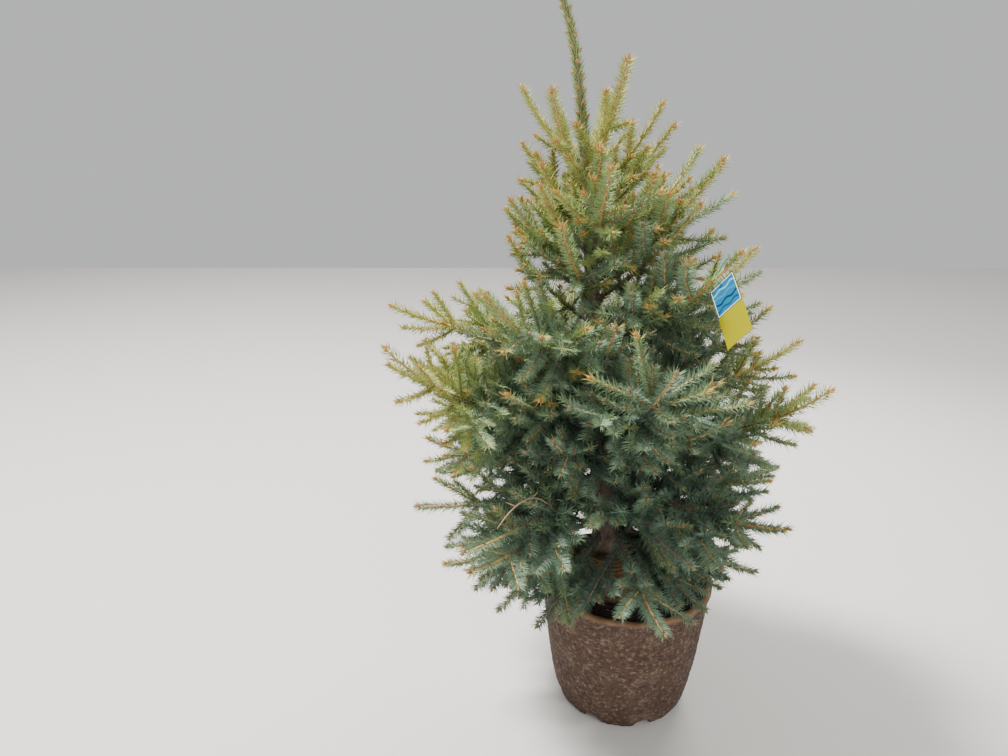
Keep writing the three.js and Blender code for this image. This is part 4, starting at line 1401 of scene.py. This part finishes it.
def make_soil_bits(inner):
    """Chips of bark and pale grit that lie in the soil's surface."""
    random = np.random.default_rng(41)
    pot = bpy.context.scene.spruce_pot
    parts = []
    shape = np.array([[1, 0, 0], [0, 1, 0], [-1, 0, 0], [0, -1, 0], [0, 0, 1], [0, 0, -1]], dtype=float)
    upper = [[k, (k + 1) % 4, 4] for k in range(4)]
    lower = [[(k + 1) % 4, k, 5] for k in range(4)]
    faces = np.array(upper + lower)
    for _ in range(SOIL_CHIPS):
        turn, reach = random.uniform(0, 2 * math.pi), (inner - 0.006) * math.sqrt(random.uniform(0.1, 1))
        place = np.array([reach * math.cos(turn), reach * math.sin(turn), 0.0])
        if math.hypot(place[0] - TRUNK_X, place[1]) < BALL_RADII[0]:
            continue
        place[2] = pot.soil_level - 0.001 + random.uniform(0, 0.004)
        pale = random.uniform() < PALE_CHIPS
        size = np.array([random.uniform(*span) for span in CHIP_MILLIMETRES]) * MM
        spin = random.uniform(0, math.pi)
        turned = shape * size * random.uniform(0.8, 1.2, (6, 1))
        x = turned[:, 0] * math.cos(spin) - turned[:, 1] * math.sin(spin)
        y = turned[:, 0] * math.sin(spin) + turned[:, 1] * math.cos(spin)
        points = np.stack([x, y, turned[:, 2]], axis=1) + place
        parts.append((points, faces, np.full(8, int(pale))))
    points, faces, tones = joined(parts)
    piece = mesh_piece("soil_chips", points, faces, tones)
    # Composted bark in wet chips, dark and matt, and crushed grit, which dries to pale specks
    dark, _, _ = new_material("wet_bark_chip", linear("#33261c"), 0.9)
    pale, _, _ = new_material("dry_grit", linear("#a8977f"), 0.9)
    finish_piece(piece, "soil", [dark, pale])


def ball_at(share):
    """The height and the radius of the wrapped root ball, from its base to its top."""
    height = BALL_BASE + BALL_HEIGHT * math.sin(share * math.pi / 2)
    return height, between(*BALL_RADII, share ** BALL_SHOULDER)


def make_root_ball():
    """The wrapped mound round the trunk's foot, and the loose fibres on it."""
    rings = []
    for share in np.linspace(0, 1, 22):
        height, radius = ball_at(share)
        rings.append(((TRUNK_X, 0, height), radius))
    piece = loft("burlap_ball", rings, 96)

    def folds(places, normals):
        below_top = places[:, 2] < BALL_BASE + BALL_HEIGHT - 0.004
        lumps = np.where(below_top, fractal_at(places, BURLAP_SCALE), 0)
        shift = normals * (lumps * BURLAP_RELIEF - BURLAP_SINK)[:, None]
        shift[:, 2] = np.where(places[:, 2] < BALL_BASE + 0.002, 0, shift[:, 2])
        return places + shift

    shape_points(piece, folds)
    finish_piece(piece, "burlap", [burlap_material()], "root_ball")

    random = np.random.default_rng(17)
    parts = []
    for _ in range(BALL_FIBRES):
        height, radius = ball_at(random.uniform(0.03, 0.9))
        radius += random.uniform(0.0, 0.0015)
        start, sweep = random.uniform(0, 2 * math.pi), random.uniform(0.3, 1.5)
        turns = start + np.linspace(0, sweep, 8)
        level = height + np.cumsum(random.normal(0, 0.0011, 8))
        wander = radius + np.cumsum(random.normal(0, 0.0004, 8))
        path = np.stack([TRUNK_X + wander * np.cos(turns), wander * np.sin(turns), level], axis=1)
        radii = np.full(8, random.uniform(*FIBRE_RADII))
        radii[[0, -1]] = 0.0002
        parts.append((*tube(path, radii, 4), np.full(28, int(random.uniform() < 0.5))))
    points, faces, tones = joined(parts)
    fibres = mesh_piece("burlap_fibres", points, faces, tones, smooth=True)
    # Jute, spun and frayed: dark strands where it is damp and pale ones where it is dry, all matt
    dark, _, _ = new_material("jute_fibre_dark", linear("#4a3323"), 0.95)
    pale, _, _ = new_material("jute_fibre_pale", linear("#94704c"), 0.95)
    finish_piece(fibres, "burlap", [dark, pale])


def make_trunk():
    """The trunk's bark, flared at the foot and swollen at each whorl."""
    foot = np.linspace(TRUNK_FOOT, TRUNK_FOOT + 0.08, 16)
    heights = np.concatenate([foot, np.linspace(0.538, TRUNK_TIP, 150)])
    piece = loft("trunk_bark", [trunk_at(h) for h in heights], 40)
    whorl_heights = [whorl.height for whorl in WHORLS]

    def grown(places, normals):
        flare = FLARE * np.exp((TRUNK_FOOT - places[:, 2]) / FLARE_HEIGHT)
        out = places - np.array([trunk_at(h)[0] for h in places[:, 2]])
        turns = np.arctan2(out[:, 1], out[:, 0])
        reach = np.maximum(np.linalg.norm(out, axis=1), 1e-6)
        size = np.array([trunk_at(h)[1] for h in places[:, 2]])
        swell = sum(np.exp(-((places[:, 2] - h) / SWELL_HEIGHT) ** 2) for h in whorl_heights) * SWELL
        plates = fractal_at(places, PLATE_SCALE) * PLATE_RELIEF
        moved = LOBE_SHARE * flare * np.cos(FLARE_LOBES * turns) + (swell + plates) * size
        moved = np.where(reach < 0.5 * size, 0, moved)
        return places + out / reach[:, None] * moved[:, None]

    shape_points(piece, grown)
    return finish_piece(piece, "bark", [bark_material()], "trunk")


def make_boughs(whorl):
    """The bare limbs of a whorl, swollen at the trunk, with the relief of their bark."""
    parts = []
    boughs = [b for b in grow_crown()[0] if b.whorl.name == whorl.name]
    for bough in boughs:
        marks = np.linspace(0.012, whorl.bare, 18)
        path = along(bough.path, marks)[0]
        radii = np.array([bough_radius(bough, d) for d in marks])
        trunk_radius = trunk_at(path[0][2])[1]
        radii = radii * (1 + LIMB_COLLAR * np.exp(-np.maximum(marks - trunk_radius, 0) / COLLAR_STRETCH))
        rough = np.array([noise.noise(Vector(p * LIMB_SCALE)) for p in path])
        radii = radii * (1 + LIMB_RELIEF * rough)
        radii[0] = 0.002
        radii[-1] *= 0.95
        parts.append(tube(path, radii, 12))
    points, faces, _ = joined(parts)
    piece = mesh_piece(f"boughs_{whorl.name}", points, faces, smooth=True)
    return finish_piece(piece, "bough_bark", [bark_material()], *[f"bough_{b.name}" for b in boughs])


def make_dead_twig():
    """The bare dead twig that arches forward from a low bough, with two broken stubs."""
    bough = next(b for b in grow_crown()[0] if b.name == DEAD_BOUGH)
    start = along(bough.path, DEAD_START)[0][0]
    share = np.linspace(0, 1, 13)[:, None]
    path = start * (1 - share) ** 2 + np.array(DEAD_ARCH) * 2 * share * (1 - share)
    path += np.array(DEAD_TIP) * share ** 2
    radii = np.linspace(*DEAD_RADII, 13)
    radii[-1] = POINT_RADIUS
    parts = [tube(path, radii, 7)]
    for at, side in DEAD_STUBS:
        stub = path[at] + np.linspace(0, 1, 4)[:, None] * np.array(side)
        parts.append(tube(stub, np.array(STUB_RADII), 5))
    points, faces, _ = joined(parts)
    piece = mesh_piece("dead_twig", points, faces, smooth=True)
    # Dead bark, bleached by the sun to a pale straw brown
    dead_bark = young_bark("bleached_dead_bark", linear("#a98f6b"))
    return finish_piece(piece, "bough_bark", [dead_bark])


def make_leader():
    """The leader's needles, laid along it, with side buds between them and a crown of buds at its tip."""
    foliage = bpy.context.scene.spruce_foliage
    heights = np.linspace(LEADER_BASE, TRUNK_TIP - 0.008, LEADER_STRETCHES + 1)
    path = np.array([trunk_at(h)[0] for h in heights])
    reach = float(np.linalg.norm(np.diff(path, axis=0), axis=1).sum())
    per_metre = foliage.needles_per_metre * LEADER_NEEDLES
    parts = []
    for k in range(LEADER_STRETCHES):
        share = k / LEADER_STRETCHES
        start, end = reach * k / LEADER_STRETCHES, reach * (k + 1) / LEADER_STRETCHES
        part = Twig(path, reach, 1, 0, LEADER_SEED + k, "leader")
        radius = trunk_at(heights[k])[1] * 1.15
        lean = math.radians(between(*LEADER_LEANS, share))
        size = foliage.needle_length * between(*LEADER_SIZES, share)
        width = foliage.needle_width
        shape, faces, _ = needles_on(part, start, end, radius, lean, per_metre, 0.0, size, width)
        # The leader's needles alternate between two lit steps of the painted light: olive and sunlit.
        parts.append((shape, faces, np.full(len(faces), LEADER_TONE + k % 2)))
    points, faces, tones = joined(parts)
    piece = mesh_piece("needles_leader", points, faces, tones)
    finish_piece(piece, "needles", needle_materials(), "foliage_leader")
    parts = []
    size, radius = foliage.bud_length, foliage.bud_radius
    for k in range(LEADER_BUDS):
        distance = reach * between(*LEADER_BUD_PLACES, k / LEADER_BUDS)
        root, aim = (found[0] for found in along(path, distance))
        turn = k * GOLDEN_ANGLE
        foot = root + spread_from(aim, turn, 0, 1) * trunk_at(root[2])[1] * BUD_SEAT
        out = spread_from(aim, turn, *SIDE_BUD_SPREAD)
        parts.append(bud_shape(foot, out, size * LEADER_BUD_SIZE[0], radius * LEADER_BUD_SIZE[1]))
    tip, aim = (found[0] for found in along(path, reach - 0.001))
    for k in range(LEADER_TIP_BUDS):
        out = spread_from(aim, 2 * math.pi * k / LEADER_TIP_BUDS, *LEADER_TIP_SPREAD)
        parts.append(bud_shape(tip - aim * CLUSTER_STEP, out, size, radius * LEADER_TIP_SWELL))
    points, faces, _ = joined(parts)
    buds = mesh_piece("buds_leader", points, faces, smooth=True)
    finish_piece(buds, "bough_bark", [bud_material()])


def to_place(points, hole, down, across, face):
    """Points in the tag's own plane, put where the tag hangs."""
    return hole + points[:, :1] * across - points[:, 1:2] * down + points[:, 2:3] * face


def make_tag():
    """The tag's sheet with its hole, and the plain fields and waves printed on both faces."""
    tag = bpy.context.scene.spruce_tag
    _, hole, _, down, across, face = tag_place()
    place = (hole, down, across, face)
    deselect()
    bpy.ops.mesh.primitive_grid_add(x_subdivisions=24, y_subdivisions=48, size=1, location=(0, 0, 0))
    piece = bpy.context.object
    piece.name = "tag_sheet"
    bpy.ops.object.mode_set(mode="EDIT")
    bpy.ops.mesh.select_all(action="SELECT")
    bpy.ops.transform.resize(value=(tag.width, tag.height, 1), center_override=(0, 0, 0))
    bpy.ops.transform.translate(value=(0, TAG_HOLE_DOWN - tag.height / 2, 0))
    bpy.ops.object.mode_set(mode="OBJECT")
    thickness = piece.modifiers.new("sheet", "SOLIDIFY")
    thickness.thickness = TAG_THICK * SHEET_SHARE
    thickness.offset = 0
    bpy.ops.object.modifier_apply(modifier=thickness.name)
    deselect()
    bpy.ops.mesh.primitive_cylinder_add(vertices=32, radius=TAG_HOLE_RADIUS, depth=0.02, location=(0, 0, 0))
    cut_away(piece, bpy.context.object, "hole")
    place_tag(piece, place)
    finish_piece(piece, "tag", [plain_plastic("printed_tag_yellow", tag.field, 0.7)], "hang_tag")

    left, right = PANEL_MARGIN - tag.width / 2, tag.width / 2 - PANEL_MARGIN
    foot, head = TAG_HOLE_DOWN - PANEL_SHARE * tag.height, TAG_HOLE_DOWN - PANEL_MARGIN
    inset = PANEL_BAND + PANEL_LINE
    prints = (
        ("tag_panel_edge", tag.panel_edge, 0),
        ("tag_panel_line", linear("#eef3f4"), PANEL_BAND),
        ("tag_panel", tag.panel, inset),
    )
    for layer, (name, colour_value, room) in enumerate(prints, 1):
        box = (left + room, right - room, foot + room, head - room)
        add_label(name, colour_value, box, layer, place)
    sides = (left + inset, right - inset)
    for k, tint in enumerate(WAVE_TINTS):
        height = foot + inset + WAVE_FIRST + WAVE_PITCH * k
        add_wave(f"tag_wave_{k + 1}", linear(tint), sides, height, len(prints) + 1, place)


def place_tag(piece, place):
    """Curls a flat piece of the tag and puts it where the tag hangs."""
    tag = bpy.context.scene.spruce_tag

    def hang(places, normals):
        share = np.clip((TAG_HOLE_DOWN - places[:, 1]) / tag.height, 0, 1)
        bowl = (places[:, 0] / (tag.width / 2)) ** 2
        places[:, 2] += tag.curl * share ** 2 * 0.5 - 0.0016 * bowl * share
        return to_place(places, *place)

    shape_points(piece, hang)


def print_lift(side, layer):
    """How far a printed layer stands from the middle of the tag's sheet, on either face."""
    return side * (TAG_THICK * SHEET_SHARE / 2 + PRINT_LIFT * layer)


def add_label(name, colour_value, box, layer, place):
    """A printed field on both faces of the tag: a thin grid that follows its curl."""
    x0, x1, y0, y1 = box
    for side in (1, -1):
        deselect()
        bpy.ops.mesh.primitive_grid_add(x_subdivisions=16, y_subdivisions=20, size=1, location=(0, 0, 0))
        piece = bpy.context.object
        piece.name = name if side == 1 else f"{name}_back"
        bpy.ops.object.mode_set(mode="EDIT")
        bpy.ops.mesh.select_all(action="SELECT")
        bpy.ops.transform.resize(value=(x1 - x0, y1 - y0, 1), center_override=(0, 0, 0))
        bpy.ops.transform.translate(value=((x0 + x1) / 2, (y0 + y1) / 2, print_lift(side, layer)))
        if side == -1:
            bpy.ops.mesh.flip_normals()
        bpy.ops.object.mode_set(mode="OBJECT")
        place_tag(piece, place)
        finish_piece(piece, "tag", [plain_plastic(f"{name}_print", colour_value, 0.42)])


def add_wave(name, colour_value, sides, height, layer, place):
    """A plain wavy band printed across the panel on both faces of the tag."""
    x = np.linspace(*sides, 33)
    wave = WAVE_SWING * np.sin(x * WAVE_TURN + height * WAVE_SHIFT)
    near = np.arange(32)
    for side in (1, -1):
        low = np.stack([x, height + wave, np.full(33, print_lift(side, layer))], axis=1)
        points = np.vstack([low, low + np.array([0, WAVE_BAND, 0])])
        faces = np.stack([near, near + 1, near + 34, near + 33], axis=1)[:, ::side]
        piece = mesh_piece(name if side == 1 else f"{name}_back", points, faces)
        place_tag(piece, place)
        finish_piece(piece, "tag", [plain_plastic(f"{name}_print", colour_value, 0.42)])


def make_tie():
    """The tie: a ring through the tag's hole and a tail that hangs from it."""
    tag = bpy.context.scene.spruce_tag
    loop, _, knot, down, across, face = tag_place()
    turns = np.linspace(0, 2 * math.pi, 41)
    ring = loop - np.outer(np.cos(turns), down) * TIE_LOOP_RADIUS
    ring += np.outer(np.sin(turns), face) * TIE_LOOP_RADIUS
    away = unit(across - down * TIE_TAIL_LIFT)
    tail = knot + np.outer(np.linspace(0, 1, 9), away * TIE_TAIL)
    tail += np.outer(0.003 * np.sin(np.linspace(0, math.pi, 9)), face)
    ends = np.full(9, TIE_RADIUS * 1.3)
    ends[-1] = 0.0003
    parts = [tube(ring, np.full(41, TIE_RADIUS), 10), tube(tail, ends, 10)]
    points, faces, _ = joined(parts)
    piece = mesh_piece("tie_band", points, faces, smooth=True)
    finish_piece(piece, "tie", [plain_plastic("soft_tie_plastic", tag.tie, 0.45)], "tag_tie")


def make_stage():
    """The floor, the even light, the lamps and the camera."""
    stage = bpy.context.scene.spruce_stage
    deselect()
    bpy.ops.mesh.primitive_plane_add(size=14, location=(0, 0, -0.0005))
    floor = bpy.context.object
    floor.name = "floor"
    # Floor paint, rolled on: an even pale ground, matt
    material, _, _ = new_material("painted_floor", stage.floor, 0.9)
    floor.data.materials.append(material)
    world = bpy.data.worlds.new("studio")
    bpy.context.scene.world = world
    world.use_nodes = True
    world.node_tree.nodes["Background"].inputs["Color"].default_value = (*stage.sky, 1)
    world.node_tree.nodes["Background"].inputs["Strength"].default_value = SKY_STRENGTH
    for name, place, size, power in LAMPS:
        light = bpy.data.lights.new(name, "AREA")
        light.energy = power
        light.size = size
        lamp = bpy.data.objects.new(name, light)
        bpy.context.collection.objects.link(lamp)
        lamp.location = place
        lamp.rotation_euler = (Vector(LAMPS_AIM) - Vector(place)).to_track_quat("-Z", "Y").to_euler()
    camera_data = bpy.data.cameras.new("camera")
    camera_data.sensor_width = 36
    camera_data.lens = stage.focal
    camera = bpy.data.objects.new("camera", camera_data)
    bpy.context.collection.objects.link(camera)
    camera.location = stage.eye
    camera.rotation_euler = (math.pi / 2 - stage.pitch, 0, 0)
    bpy.context.scene.camera = camera


class SPRUCE_OT_stage(bpy.types.Operator):
    """Makes the floor, the lights and the camera."""

    bl_idname = "spruce.stage"
    bl_label = "Stage"

    def execute(self, context):
        make_stage()
        return {"FINISHED"}


class SPRUCE_OT_pot(bpy.types.Operator):
    """Makes the moulded fibre pot with its lip and notches."""

    bl_idname = "spruce.pot"
    bl_label = "Pot"

    def execute(self, context):
        make_pot()
        return {"FINISHED"}


class SPRUCE_OT_soil(bpy.types.Operator):
    """Makes the soil bed and the chips in it."""

    bl_idname = "spruce.soil"
    bl_label = "Soil"

    def execute(self, context):
        make_soil()
        return {"FINISHED"}


class SPRUCE_OT_root_ball(bpy.types.Operator):
    """Makes the burlap mound and its loose fibres."""

    bl_idname = "spruce.root_ball"
    bl_label = "Root ball"

    def execute(self, context):
        make_root_ball()
        return {"FINISHED"}


class SPRUCE_OT_wood(bpy.types.Operator):
    """Makes the trunk and the bare limbs of the boughs."""

    bl_idname = "spruce.wood"
    bl_label = "Trunk and boughs"

    def execute(self, context):
        make_trunk()
        for whorl in WHORLS:
            if whorl.bare > 0:
                make_boughs(whorl)
        return {"FINISHED"}


class SPRUCE_OT_foliage(bpy.types.Operator):
    """Grows the twigs, needles and buds of every whorl and of the leader."""

    bl_idname = "spruce.foliage"
    bl_label = "Foliage"

    def execute(self, context):
        for whorl in (*WHORLS, *INNER):
            make_twigs(whorl)
            make_buds(whorl)
            for half in (0, 1):
                make_needles(whorl, half)
        make_dead_twig()
        make_leader()
        return {"FINISHED"}


class SPRUCE_OT_tag(bpy.types.Operator):
    """Makes the hang tag with its printed fields, and its tie."""

    bl_idname = "spruce.tag"
    bl_label = "Hang tag"

    def execute(self, context):
        make_tag()
        make_tie()
        return {"FINISHED"}


class SPRUCE_PT_panel(bpy.types.Panel):
    """Lists the plant's sizes, its colours and what can be made."""

    bl_label = "Potted spruce"
    bl_idname = "SPRUCE_PT_panel"
    bl_space_type = "VIEW_3D"
    bl_region_type = "UI"
    bl_category = "Spruce"

    def draw(self, context):
        for operator in OPERATORS:
            self.layout.operator(operator.bl_idname)
        for name in GROUPS:
            settings = getattr(context.scene, name)
            for prop in settings.__annotations__:
                self.layout.prop(settings, prop)


GROUPS = {
    "spruce_pot": SprucePot,
    "spruce_foliage": SpruceFoliage,
    "spruce_tag": SpruceTag,
    "spruce_stage": SpruceStage,
}
OPERATORS = (
    SPRUCE_OT_stage,
    SPRUCE_OT_pot,
    SPRUCE_OT_soil,
    SPRUCE_OT_root_ball,
    SPRUCE_OT_wood,
    SPRUCE_OT_foliage,
    SPRUCE_OT_tag,
)


def register():
    for kind in (*GROUPS.values(), *OPERATORS, SPRUCE_PT_panel):
        bpy.utils.register_class(kind)
    for name, kind in GROUPS.items():
        setattr(bpy.types.Scene, name, bpy.props.PointerProperty(type=kind))


def unregister():
    for name in GROUPS:
        delattr(bpy.types.Scene, name)
    for kind in (SPRUCE_PT_panel, *reversed(OPERATORS), *reversed(GROUPS.values())):
        bpy.utils.unregister_class(kind)


def main():
    register()
    bpy.ops.spruce.stage()
    bpy.ops.spruce.pot()
    bpy.ops.spruce.soil()
    bpy.ops.spruce.root_ball()
    bpy.ops.spruce.wood()
    bpy.ops.spruce.foliage()
    bpy.ops.spruce.tag()


if __name__ == "__main__":
    main()
